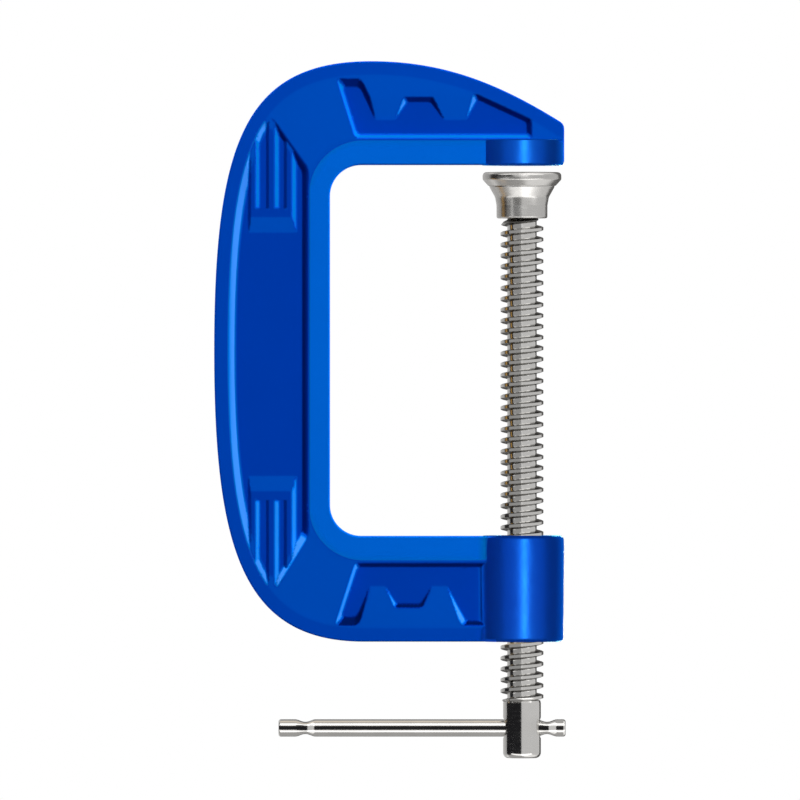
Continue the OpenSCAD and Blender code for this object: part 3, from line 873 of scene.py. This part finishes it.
def turned(profile, sides):
    """A profile turned about the screw's axis, closed on the axis or as a ring."""
    verts, rows = [], []
    for r, z in profile:
        if r < LEAST:
            rows.append([len(verts)] * sides)
            verts.append((0, 0, z))
        else:
            rows.append(list(range(len(verts), len(verts) + sides)))
            for k in range(sides):
                a = 2 * math.pi * k / sides
                verts.append((r * math.sin(a), -r * math.cos(a), z))
    return verts, between(rows + rows[:1] if profile[0][0] > LEAST else rows)


def round_piece(name, profile, finish):
    """A turned end of the casting, whose tone wavers a little along its axis."""
    verts, faces = turned(profile, ROUND_SIDES)
    low, high = BOSS_TONE - TONE_WAVER, BOSS_TONE + TONE_WAVER
    angles = [WAVER_TURN * z + WAVER_START for _, _, z in verts]
    tone = [low + (high - low) * (0.5 + 0.5 * math.sin(a)) for a in angles]
    return piece(name, verts, faces, finish, "blue_enamel", "frame", sharp=40, relief=tone)


def screw_boss(finish):
    """The screw boss, a little narrower at the bottom, with its bore opened at both ends."""
    top, low, r, bore = -JAW_SPAN, BOTTOM_Z, BOSS_R, BORE_D / 2
    mouth, middle = bore + BORE_CHAMFER, -JAW_SPAN - LOWER_ARM_H / 2
    return round_piece("screw_boss", rounded([
        (bore, top - BORE_CHAMFER, 0.3), (mouth, top, 0.2), (r - 0.15, top, 1.3), (r, top - 4, 3),
        (r - 0.25, low, 1.3), (mouth, low, 0.2), (bore, low + BORE_CHAMFER, 0.3),
        (bore, middle, 0),
    ]), finish)


def jaw_anvil(finish):
    """The anvil's round face, standing out of the jaw arm."""
    r = ANVIL_D / 2
    profile = rounded([(0, 0, 0), (r, 0, 0.8), (r, ANVIL_H, 0.3), (0, ANVIL_H, 0)])
    return round_piece("jaw_anvil", profile, finish)


def thread():
    """Points and faces of the thread, as one rolled helix."""
    turns = round((THREAD_TOP - THREAD_END) / PITCH)
    rows = [(turn + part, part) for turn in range(-1, turns + 1) for part in THREAD_PARTS]
    mesh, made = bmesh.new(), []
    for height, part in rows:
        edge = 0.5 + (RIDGE_HALF - abs(part - RIDGE_MIDDLE)) / RIDGE_FLANK
        ridge = float(ease(edge, 0.0, 1.0))
        for k in range(SCREW_SIDES):
            z = THREAD_END + (height + k / SCREW_SIDES) * PITCH
            z = min(max(z, THREAD_END), THREAD_TOP)
            fade = min(1, (z - THREAD_END) / RUN_OUT, (THREAD_TOP - z) / RUN_OUT)
            r = ROOT_D / 2 + (THREAD_D - ROOT_D) / 2 * ridge * max(0, fade)
            a = 2 * math.pi * k / SCREW_SIDES
            made.append(mesh.verts.new((r * math.sin(a), -r * math.cos(a), z)))

    def at(row, side):
        if side == SCREW_SIDES:
            row, side = row + len(THREAD_PARTS), 0
        return made[row * SCREW_SIDES + side]

    for i in range(len(rows) - 1):
        whole = i + len(THREAD_PARTS) + 1 < len(rows)
        for k in range(SCREW_SIDES if whole else SCREW_SIDES - 1):
            mesh.faces.new((at(i, k), at(i, k + 1), at(i + 1, k + 1), at(i + 1, k)))
    bmesh.ops.remove_doubles(mesh, verts=mesh.verts, dist=WELD)
    bmesh.ops.dissolve_degenerate(mesh, edges=mesh.edges, dist=WELD)
    loose = [v for v in mesh.verts if not v.link_faces]
    bmesh.ops.delete(mesh, geom=loose, context="VERTS")
    mesh.verts.index_update()
    verts = [tuple(v.co) for v in mesh.verts]
    faces = [tuple(v.index for v in f.verts) for f in mesh.faces]
    mesh.free()
    return verts, faces


def screw(finish):
    """The threaded screw with its neck and ball, and painted shade on the thread's flanks."""
    verts, faces = thread()
    root, depth = ROOT_D / 2, (THREAD_D - ROOT_D) / 2
    rise = [np.clip((math.hypot(x, y) - root) / depth, 0, 1) for x, y, _ in verts]
    neck, ball = NECK_D / 2, BALL_D / 2
    meet = -math.acos(neck / ball)
    ends = [(0, THREAD_TOP - 0.4), (root, THREAD_TOP - 0.4), (root, THREAD_TOP + 0.1)]
    ends.append((neck, THREAD_TOP + 0.5))
    for a in np.linspace(meet, QUARTER, 14)[:-1]:
        ends.append((ball * math.cos(a), BALL_Z + ball * math.sin(a)))
    ends.append((0, BALL_Z + ball))
    more, joined = turned(ends[::-1], SCREW_SIDES)
    # Painted shade, darkest halfway up each flank
    flank = [4 * r * (1 - r) for r in rise] + [0.0] * len(more)
    faces += [tuple(i + len(verts) for i in f) for f in joined]
    return piece("screw", verts + more, faces, finish, "plated_steel", "spindle", sharp=50,
                 flank=flank)


def bar_drill():
    """The tool that opens the bar hole through the head, with a flare at both mouths."""
    r, hole = HEAD_D / 2, BAR_HOLE_D / 2
    half = [(hole, r - HOLE_FLARE_H), (hole + HOLE_FLARE, r), (hole + DRILL_SPREAD, DRILL_REACH),
            (0, DRILL_REACH)]
    verts, faces = turned(half[::-1] + [(a, -b) for a, b in half], DRILL_SIDES)
    return solid("bar_drill", [(z, y, x + BAR_Z) for x, y, z in verts],
                 [tuple(reversed(f)) for f in faces])


def screw_head(finish):
    """The drilled head below the thread, with its bar hole opened through it."""
    r, neck = HEAD_D / 2, ROOT_D / 2 - 0.1
    profile = rounded([
        (0, HEAD_TOP + 0.6, 0), (neck, HEAD_TOP + 0.6, 0), (neck, HEAD_TOP, 0.2),
        (r - 0.2, HEAD_TOP, 0.35), (r, HEAD_TOP - 0.9, 0.8), (r, HEAD_END, 1.7), (0, HEAD_END, 0),
    ], 6)
    head = piece("screw_head", *turned(profile, HEAD_SIDES), finish, "plated_steel", "spindle")
    drill = bar_drill()
    cut = head.modifiers.new("bar_hole", "BOOLEAN")
    cut.operation, cut.object, cut.solver = "DIFFERENCE", drill, "EXACT"
    bpy.context.view_layer.update()
    shown = head.evaluated_get(bpy.context.evaluated_depsgraph_get())
    bored = bpy.data.meshes.new_from_object(shown)
    head.modifiers.clear()
    head.data = bored
    bored.name = "screw_head"
    bored.materials.clear()
    bored.materials.append(finish)
    bored.polygons.foreach_set("material_index", [0] * len(bored.polygons))
    smooth(bored, 32)
    bpy.data.objects.remove(drill)
    return head


def swivel_pad(finish):
    """The pressing pad: a flat face with a round rim, a flare to the collar, and its socket."""
    r, neck, f, end = PAD_D / 2, COLLAR_D / 2, PAD_FACE, PAD_END
    step = r - 2.15
    profile = rounded([
        (0, f, 0), (r, f, 1.6), (r, f - 2.3, 1.0), (r - 1.75, f - 4.2, 0.15),
        (step, f - 4.3, 0.1), (step, f - 4.65, 0.2), (neck + 0.45, f - 7.8, 3.0),
        (neck, f - 10.4, 3.0), (neck, end, 0.6), (5.9, end, 0.3), (LIP_R, end + 1.3, 0.4),
        (LIP_R, end + 2.2, 0.4), (SOCKET_R, BALL_Z, 1.5), (4.4, BALL_Z + 3.5, 1.5),
        (0, BALL_Z + SOCKET_R, 0),
    ])
    return piece("pressing_pad", *turned(profile, ROUND_SIDES), finish, "pad_steel", "swivel_pad",
                 sharp=40)


def bar_section(x):
    """Half height, half width and squareness of the tommy bar at x."""
    pinch = 0.0
    for stop in (STOP_LEFT_X, STOP_RIGHT_X):
        off = abs(x - stop) / (DENT_L / 2 + DENT_RUN)
        if off < 1:
            pinch = (1 - off * off) ** 2
    tall, wide = BAR_D / 2 - DENT_H * pinch, BAR_D / 2 + STOP_EAR * pinch
    edge = min(x - BAR_LEFT, BAR_RIGHT - x)
    if edge < BAR_END_R:
        drop = BAR_END_R - math.sqrt(max(0, BAR_END_R ** 2 - (BAR_END_R - edge) ** 2))
        tall, wide = tall - drop, wide - drop
    return tall, wide, 2 + STOP_SQUARE * pinch


def tommy_bar(finish):
    """The sliding bar, pinched near both ends so that it cannot fall out."""
    xs = [BAR_LEFT + e for e in BAR_END_ROWS]
    xs += list(np.arange(BAR_LEFT + 1.2, BAR_RIGHT - 1.0, BAR_STEP))
    xs += [BAR_RIGHT - e for e in reversed(BAR_END_ROWS)]
    verts = []
    for x in xs:
        tall, wide, square = bar_section(x)
        for k in range(BAR_SIDES):
            a = 2 * math.pi * (k + 0.5) / BAR_SIDES
            c, s = math.cos(a), math.sin(a)
            y = wide * math.copysign(abs(c) ** (2 / square), c)
            z = tall * math.copysign(abs(s) ** (2 / square), s)
            verts.append((x, y, BAR_Z + z))
    rings = [[i * BAR_SIDES + k for k in range(BAR_SIDES)] for i in range(len(xs))]
    faces = [(first, *others[::-1]) for first, *others in between(rings)]
    for ring, x, flip in ((rings[0], BAR_LEFT, True), (rings[-1], BAR_RIGHT, False)):
        for a, b in zip(ring, ring[1:] + ring[:1]):
            faces.append((len(verts), b, a) if flip else (len(verts), a, b))
        verts.append((x, 0, BAR_Z))
    return piece("tommy_bar_rod", verts, faces, finish, "bar_steel", "tommy_bar", sharp=50)


# ---- finishes

# Blue of the enamel by its tone of painted light and shade; the first two are the ramp's own two
# ends
ENAMEL_BLUES = (
    (PAINTED_DARKEST_TONE, (0.0, 0.008, 0.09)),
    (BRIGHT_TONE, (0.045, 0.262, 0.92)),
    (PAINTED_SHADE_TONE, (0.0, 0.022, 0.28)),
    (FLOOR_TONE, (0.0, 0.056, 0.54)),
    (LAND_TONE, (0.0, 0.094, 0.66)),
    (BAND_TONE, (0.0, 0.072, 0.60)),
    (BOSS_TONE, (0.005, 0.084, 0.71)),
    (WALL_TONE, (0.0, 0.175, 0.64)),
    (RIM_TONE, (0.0, 0.163, 0.87)),
    (RIB_TONE, (0.013, 0.234, 0.80)),
)
ENAMEL_SHEEN = (0.2, 0.8, 1.0, 1)
# The part of a mask's range that a finish makes use of
MASK_LOW, MASK_HIGH = 0.3, 0.7


def fill(tree, made, sockets):
    """Gives a node's sockets their values, or links from other nodes' outputs."""
    for label, value in sockets.items():
        if isinstance(value, bpy.types.NodeSocket):
            tree.links.new(value, made.inputs[label])
        else:
            made.inputs[label].default_value = value


def node(tree, kind, sockets=None, **settings):
    """A shader node with its settings and its sockets filled."""
    made = tree.nodes.new("ShaderNode" + kind)
    for name, value in settings.items():
        setattr(made, name, value)
    fill(tree, made, sockets or {})
    return made


def noise_group(name, output, fixed_detail=None, **inputs):
    """A shader group of one noise over the piece, that puts out one mask."""
    group = bpy.data.node_groups.new(name, "ShaderNodeTree")
    for label, value in inputs.items():
        kind = "NodeSocketVector" if isinstance(value, tuple) else "NodeSocketFloat"
        socket = group.interface.new_socket(label, in_out="INPUT", socket_type=kind)
        socket.default_value = value
    group.interface.new_socket(output, in_out="OUTPUT", socket_type="NodeSocketFloat")
    given = group.nodes.new("NodeGroupInput").outputs
    place = node(group, "TexCoord").outputs["Object"]
    if "Stretch" in inputs:
        stretch = {0: place, 1: given["Stretch"]}
        place = node(group, "VectorMath", stretch, operation="MULTIPLY").outputs[0]
    detail = given["Detail"] if fixed_detail is None else fixed_detail
    sockets = {"Vector": place, "Scale": given["Scale"], "Detail": detail}
    mask = node(group, "TexNoise", sockets).outputs["Fac"]
    fill(group, group.nodes.new("NodeGroupOutput"), {output: mask})
    return group


def effect(tree, group, **values):
    """The mask of a shared effect, with a finish's own values."""
    return node(tree, "Group", values, node_tree=group).outputs[0]


def spread_to(tree, mask, low, high):
    """A map from a mask to a range of values."""
    sockets = {"Value": mask, "From Min": MASK_LOW, "From Max": MASK_HIGH,
               "To Min": low, "To Max": high}
    return node(tree, "MapRange", sockets).outputs["Result"]


def tint(tree, low, high, mask):
    """A colour that runs from low to high with a mask."""
    sockets = {"Factor": mask, 6: (*low, 1), 7: (*high, 1)}
    return node(tree, "Mix", sockets, data_type="RGBA").outputs[2]


def shade(tree, colour, mask, low, high):
    """The colour made darker and lighter by a mask."""
    grey = tint(tree, (low,) * 3, (high,) * 3, mask)
    sockets = {"Factor": 1.0, 6: colour, 7: grey}
    mixed = node(tree, "Mix", sockets, data_type="RGBA", blend_type="MULTIPLY")
    return mixed.outputs[2]


def new_finish(name):
    """A material with its node tree and its shader."""
    material = bpy.data.materials.new(name)
    material.use_nodes = True
    tree = material.node_tree
    return material, tree, tree.nodes["Principled BSDF"]


def blue_enamel(mottle, peel):
    """Deep gloss blue over the casting, with its tone of painted light and shade by the relief."""
    material, tree, shader = new_finish("Blue enamel")
    tone = node(tree, "Attribute", attribute_name="relief").outputs["Fac"]
    depths = node(tree, "ValToRGB", {"Fac": tone})
    stops = depths.color_ramp.elements
    for k, (at, blue) in enumerate(ENAMEL_BLUES):
        stop = stops[k] if k < 2 else stops.new(at)
        stop.position, stop.color = at, (*blue, 1)
    cloud = effect(tree, mottle, Scale=45.0, Detail=4.0)
    fine = effect(tree, mottle, Scale=220.0, Detail=3.0)
    coat = effect(tree, peel, Scale=700.0)
    dimples = node(tree, "Bump", {"Height": coat, "Strength": 0.12, "Distance": 0.0002})
    fill(tree, shader, {
        "Base Color": shade(tree, depths.outputs["Color"], cloud, 0.96, 1.04),
        "Roughness": spread_to(tree, fine, 0.30, 0.37),
        "Normal": dimples.outputs["Normal"],
        "Metallic": 0.3,
        "Specular IOR Level": 0.0,
        "Specular Tint": ENAMEL_SHEEN,
    })
    return material


def bright_steel(name, mottle, drawn, low, high, rough, stretch, scale, strength, flank_shade=None):
    """Bright plated steel with the fine lines of the tool that made it, and painted shade by a
    flank mask where one is given.
    """
    material, tree, shader = new_finish(name)
    colour = tint(tree, low, high, effect(tree, mottle, Scale=130.0, Detail=4.0))
    # Painted shade on the thread's flanks
    if flank_shade is not None:
        flank = node(tree, "Attribute", attribute_name="flank").outputs["Fac"]
        colour = shade(tree, colour, flank, 1.0, flank_shade)
    lines = effect(tree, drawn, Scale=scale, Stretch=stretch)
    grain = node(tree, "Bump", {"Height": lines, "Strength": strength, "Distance": 0.00005})
    fill(tree, shader, {
        "Base Color": colour,
        "Roughness": spread_to(tree, lines, *rough),
        "Normal": grain.outputs["Normal"],
        "Metallic": 1.0,
    })
    return material


def pale_floor(mottle):
    """A matt pale floor with a trace of cloud in it."""
    material, tree, shader = new_finish("Pale floor")
    cloud = effect(tree, mottle, Scale=3.0, Detail=2.0)
    colour = tint(tree, (0.93, 0.93, 0.93), (0.96, 0.96, 0.955), cloud)
    fill(tree, shader, {"Base Color": colour, "Roughness": 1.0, "Specular IOR Level": 0.0})
    return material


# ---- floor, light and camera

MIDDLE = (-38 * MM, 0.0, -60 * MM)
FLOOR_R = 1500
FLOOR_H = 0.1
FLOOR_GAP = 0.6
WHITE = (1, 1, 1)
STRIP_HUE = (1.6, 1.15, 0.5)
EDGE_HUE = (0, 0.5, 1)
SPINE_HUE = (1, 0.58, 0.14)
ARM_HUE = (1, 0.78, 0.5)
ROOM_DARK = (0.015, 0.015, 0.017)
ROOM_PALE = (0.14, 0.135, 0.13)
# Where the room turns pale: towards its floor and ceiling, and towards its back
ROOM_ENDS = (0.24, 0.5)
ROOM_BACK = (0.55, 0.85)
# The camera: lens and sensor in millimetres, and the view's width and middle
LENS, SENSOR, FAR = 800, 36, 50
VIEW_W, VIEW_X, VIEW_Z = 250, -38.125, -73.28


def studio_floor(finish):
    """A thin round slab, clear of the screw's head when the screw is wound right out."""
    top = HEAD_END - SCREW_TRAVEL - FLOOR_GAP
    low = top - FLOOR_H
    rim = (FLOOR_R + 0.1, top - FLOOR_H / 2)
    profile = [(0, top), (FLOOR_R, top), rim, (FLOOR_R, low), (0, low)]
    floor = solid("studio_floor", *turned(profile, HEAD_SIDES))
    floor.data.materials.append(finish)
    floor.visible_glossy = floor.visible_diffuse = floor.visible_shadow = False
    return floor


def softbox(name, place, aim, size, glow, pieces, mirrored=True, matt=True, shaded_by=None,
            hue=WHITE):
    """A soft panel at a place, aimed at a point, that lights these pieces with this glow."""
    light = bpy.data.lights.new(name, "AREA")
    light.shape = "RECTANGLE"
    light.size, light.size_y = size
    light.color = hue
    light.energy = glow * math.pi * size[0] * size[1]
    lamp = placed(name, light)
    lamp.location = place
    lamp.rotation_euler = (Vector(aim) - Vector(place)).to_track_quat("-Z", "Y").to_euler()
    lamp.visible_camera = False
    lamp.visible_glossy = mirrored
    lamp.visible_diffuse = matt
    lamp.light_linking.receiver_collection = pieces
    if shaded_by:
        lamp.light_linking.blocker_collection = shaded_by


def floor_wash(floor):
    """Light from overhead that keeps the floor pale, with a faint shade under the clamp."""
    lit = lit_set("Floor", floor)
    for name, energy, shaded in (("Floor wash", 2.5, False), ("Floor shade", 0.8, True)):
        light = bpy.data.lights.new(name, "SUN")
        light.energy, light.angle, light.use_shadow = energy, math.radians(70), shaded
        placed(name, light).light_linking.receiver_collection = lit


def around(azimuth, elevation, distance):
    """A place round the clamp's middle; azimuth turns from the front towards +x."""
    a, e = math.radians(azimuth), math.radians(elevation)
    x, y, z = MIDDLE
    flat = distance * math.cos(e)
    return (x + math.sin(a) * flat, y - math.cos(a) * flat, z + distance * math.sin(e))


def lit_set(name, *pieces):
    """Pieces that share their panels of light."""
    group = bpy.data.collections.new(name)
    for obj in pieces:
        group.objects.link(obj)
    return group


def studio_world():
    """White to the camera; to everything else a grey room with a dark belt in front."""
    world = bpy.data.worlds.new("Studio")
    scene.world = world
    world.use_nodes = True
    tree = world.node_tree
    tree.nodes.clear()
    place = node(tree, "TexCoord").outputs["Generated"]
    split = node(tree, "SeparateXYZ", {"Vector": place}).outputs
    level = node(tree, "Math", {0: split["Z"]}, operation="ABSOLUTE").outputs[0]
    ends, back = (
        node(tree, "MapRange", {"Value": value, "From Min": low, "From Max": high})
        for value, (low, high) in ((level, ROOM_ENDS), (split["Y"], ROOM_BACK))
    )
    pale = {0: ends.outputs["Result"], 1: back.outputs["Result"]}
    most = node(tree, "Math", pale, operation="MAXIMUM").outputs[0]
    lit = node(tree, "Background", {"Color": tint(tree, ROOM_DARK, ROOM_PALE, most)})
    seen = node(tree, "Background", {"Color": (*WHITE, 1)})
    by_camera = node(tree, "LightPath").outputs["Is Camera Ray"]
    shown = {"Fac": by_camera, 1: lit.outputs["Background"], 2: seen.outputs["Background"]}
    shown = node(tree, "MixShader", shown).outputs["Shader"]
    node(tree, "OutputWorld", {"Surface": shown})


def studio_camera():
    """Square on to the clamp from far away, so that its sides stay parallel."""
    lens = bpy.data.cameras.new("Front")
    lens.lens, lens.sensor_width, lens.clip_end = LENS, SENSOR, FAR
    camera = placed("Front", lens)
    away = VIEW_W * MM * LENS / SENSOR
    camera.location = (VIEW_X * MM, -away, VIEW_Z * MM)
    camera.rotation_euler = (QUARTER, 0, 0)
    scene.camera = camera


# ---- the clamp

studio_camera()
mottle = noise_group("Cloudy mottle", "Mottle", Scale=60.0, Detail=3.0)
peel = noise_group("Coat waviness", "Height", fixed_detail=1.5, Scale=900.0)
drawn = noise_group("Tool lines", "Lines", fixed_detail=2.0, Stretch=(1, 1, 1), Scale=1500.0)
enamel = blue_enamel(mottle, peel)
plated = bright_steel(
    "Plated screw steel", mottle, drawn, low=(0.60, 0.59, 0.57), high=(0.74, 0.73, 0.71),
    rough=(0.10, 0.18), stretch=(1, 1, 3.0), scale=400.0, strength=0.06, flank_shade=PAINTED_FLANK_SHADE)
pad_plate = bright_steel(
    "Plated pad steel", mottle, drawn, low=(0.50, 0.49, 0.475), high=(0.62, 0.61, 0.59),
    rough=(0.22, 0.30), stretch=(1, 1, 5.0), scale=400.0, strength=0.03)
bar_plate = bright_steel(
    "Drawn bar steel", mottle, drawn, low=(0.62, 0.61, 0.59), high=(0.76, 0.75, 0.73),
    rough=(0.08, 0.16), stretch=(0.05, 1, 1), scale=1500.0, strength=0.06)

casting = cast_frame(enamel)
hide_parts("frame")
boss, anvil = screw_boss(enamel), jaw_anvil(enamel)
spindle = screw(plated)
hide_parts("spindle")
pad = swivel_pad(pad_plate)
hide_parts("swivel_pad")
bar = tommy_bar(bar_plate)
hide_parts("tommy_bar")
head = screw_head(plated)
floor = studio_floor(pale_floor(mottle))
for blue in (casting, boss, anvil):
    blue.visible_glossy = False

cast_set, round_set = lit_set("Casting", casting), lit_set("Boss and anvil", boss, anvil)
steel_set = lit_set("Plated pieces", spindle, head, pad, bar)
turned_set = lit_set("Turned pieces", spindle, head, pad)
screw_set, pad_set, bar_set = lit_set("Screw", spindle), lit_set("Pad", pad), lit_set("Bar", bar)
open_set = lit_set("Nothing in the way", floor)

studio_world()
for side, start, turn in (("Front", 0, 1), ("Back", 180, -1)):
    for name, swing, rise, reach, size, glow in (
        ("wash", 8, 10, 2.0, (1.0, 1.0), 2.0),
        ("key", 62, 4, 2.5, (1.0, 1.3), 15.9),
        ("top", -20, 70, 2.0, (1.0, 1.0), 10.0),
    ):
        softbox(f"{side} cast {name}", around(start + turn * swing, rise, reach), MIDDLE, size,
                glow, cast_set, mirrored=False, shaded_by=open_set)
    softbox(f"{side} round wash", around(start + turn * 4, 0, 2.0), MIDDLE, (1.0, 1.2), 4.4,
            round_set, mirrored=False)
    for name, swing, reach, width, glow, hue in (
        ("wide strip", 6, 0.75, 2.6, 0.85, WHITE),
        ("broad strip", 8, 1.3, 0.65, 0.6, WHITE),
        ("strip", 8, 1.5, 0.11, 60.0, STRIP_HUE),
    ):
        softbox(f"{side} {name}", around(start + turn * swing, 0, reach), MIDDLE, (width, 1.3),
                glow, round_set, matt=False, hue=hue)
softbox("Left fill", around(270, 0, 2.0), MIDDLE, (0.1, 1.2), 60.0, cast_set, mirrored=False)
softbox("Under fill", around(0, -90, 2.0), MIDDLE, (0.1, 0.1), 500.0, cast_set, mirrored=False)
for side, azimuth in (("Right", 150), ("Left", -150)):
    softbox(f"{side} edge", around(azimuth, 0, 1.2), MIDDLE, (0.6, 1.2), 1.25, round_set,
            matt=False, hue=EDGE_HUE)
spine_x, arm_z = INNER_X * MM + 0.0002, BOTTOM_Z * MM - 0.0003
softbox("Spine glow", (spine_x, 0, -0.058), (0, 0, -0.058), (0.013, 0.096), 0.45, steel_set,
        hue=SPINE_HUE)
softbox("Arm glow", (-0.04, 0, arm_z), (-0.04, 0, -1), (0.09, 0.013), 0.38, steel_set, hue=ARM_HUE)
# White panels: name, place, aim, size, glow and the pieces that each lights
for panel in (
    ("Pad sheet", (-0.15, -0.2, -0.05), (0, 0, -0.05), (0.38, 0.1), 0.28, pad_set),
    ("Pad streak", (-0.18, -0.174, -0.05), (0, 0, -0.05), (0.03, 0.1), 1.0, pad_set),
    ("Thread sheet", (-0.15, -0.2, -0.09), (0, 0, -0.09), (0.38, 0.36), 0.36, screw_set),
    ("Rim sheet", (-0.02, -0.3, 0.07), (0, 0, -0.005), (0.25, 0.1), 1.1, steel_set),
    ("Left sheet", around(-140, 0, 1.0), MIDDLE, (1.2, 2.0), 0.5, steel_set),
    ("Top sheet", around(0, 90, 1.0), MIDDLE, (2.4, 2.4), 0.36, steel_set),
    ("Under sheet", around(0, -90, 1.0), MIDDLE, (2.4, 2.4), 0.32, steel_set),
    ("Bar sheet", (0.5, -0.78, -0.06), (-0.038, -0.78, -0.06), (2.45, 6.0), 0.7, bar_set),
    ("Side sheet", (0.18, -0.78, -0.06), (-0.787, -0.527, -0.06), (2.53, 6.0), 0.7, turned_set),
    ("High sheet", around(0, 48, 0.9), (0, 0, -0.09), (3.0, 0.45), 1.15, steel_set),
    ("Low sheet", around(0, -48, 0.9), (0, 0, -0.09), (3.0, 0.45), 1.15, steel_set),
):
    softbox(*panel)
floor_wash(floor)
scene.view_settings.view_transform = "Standard"
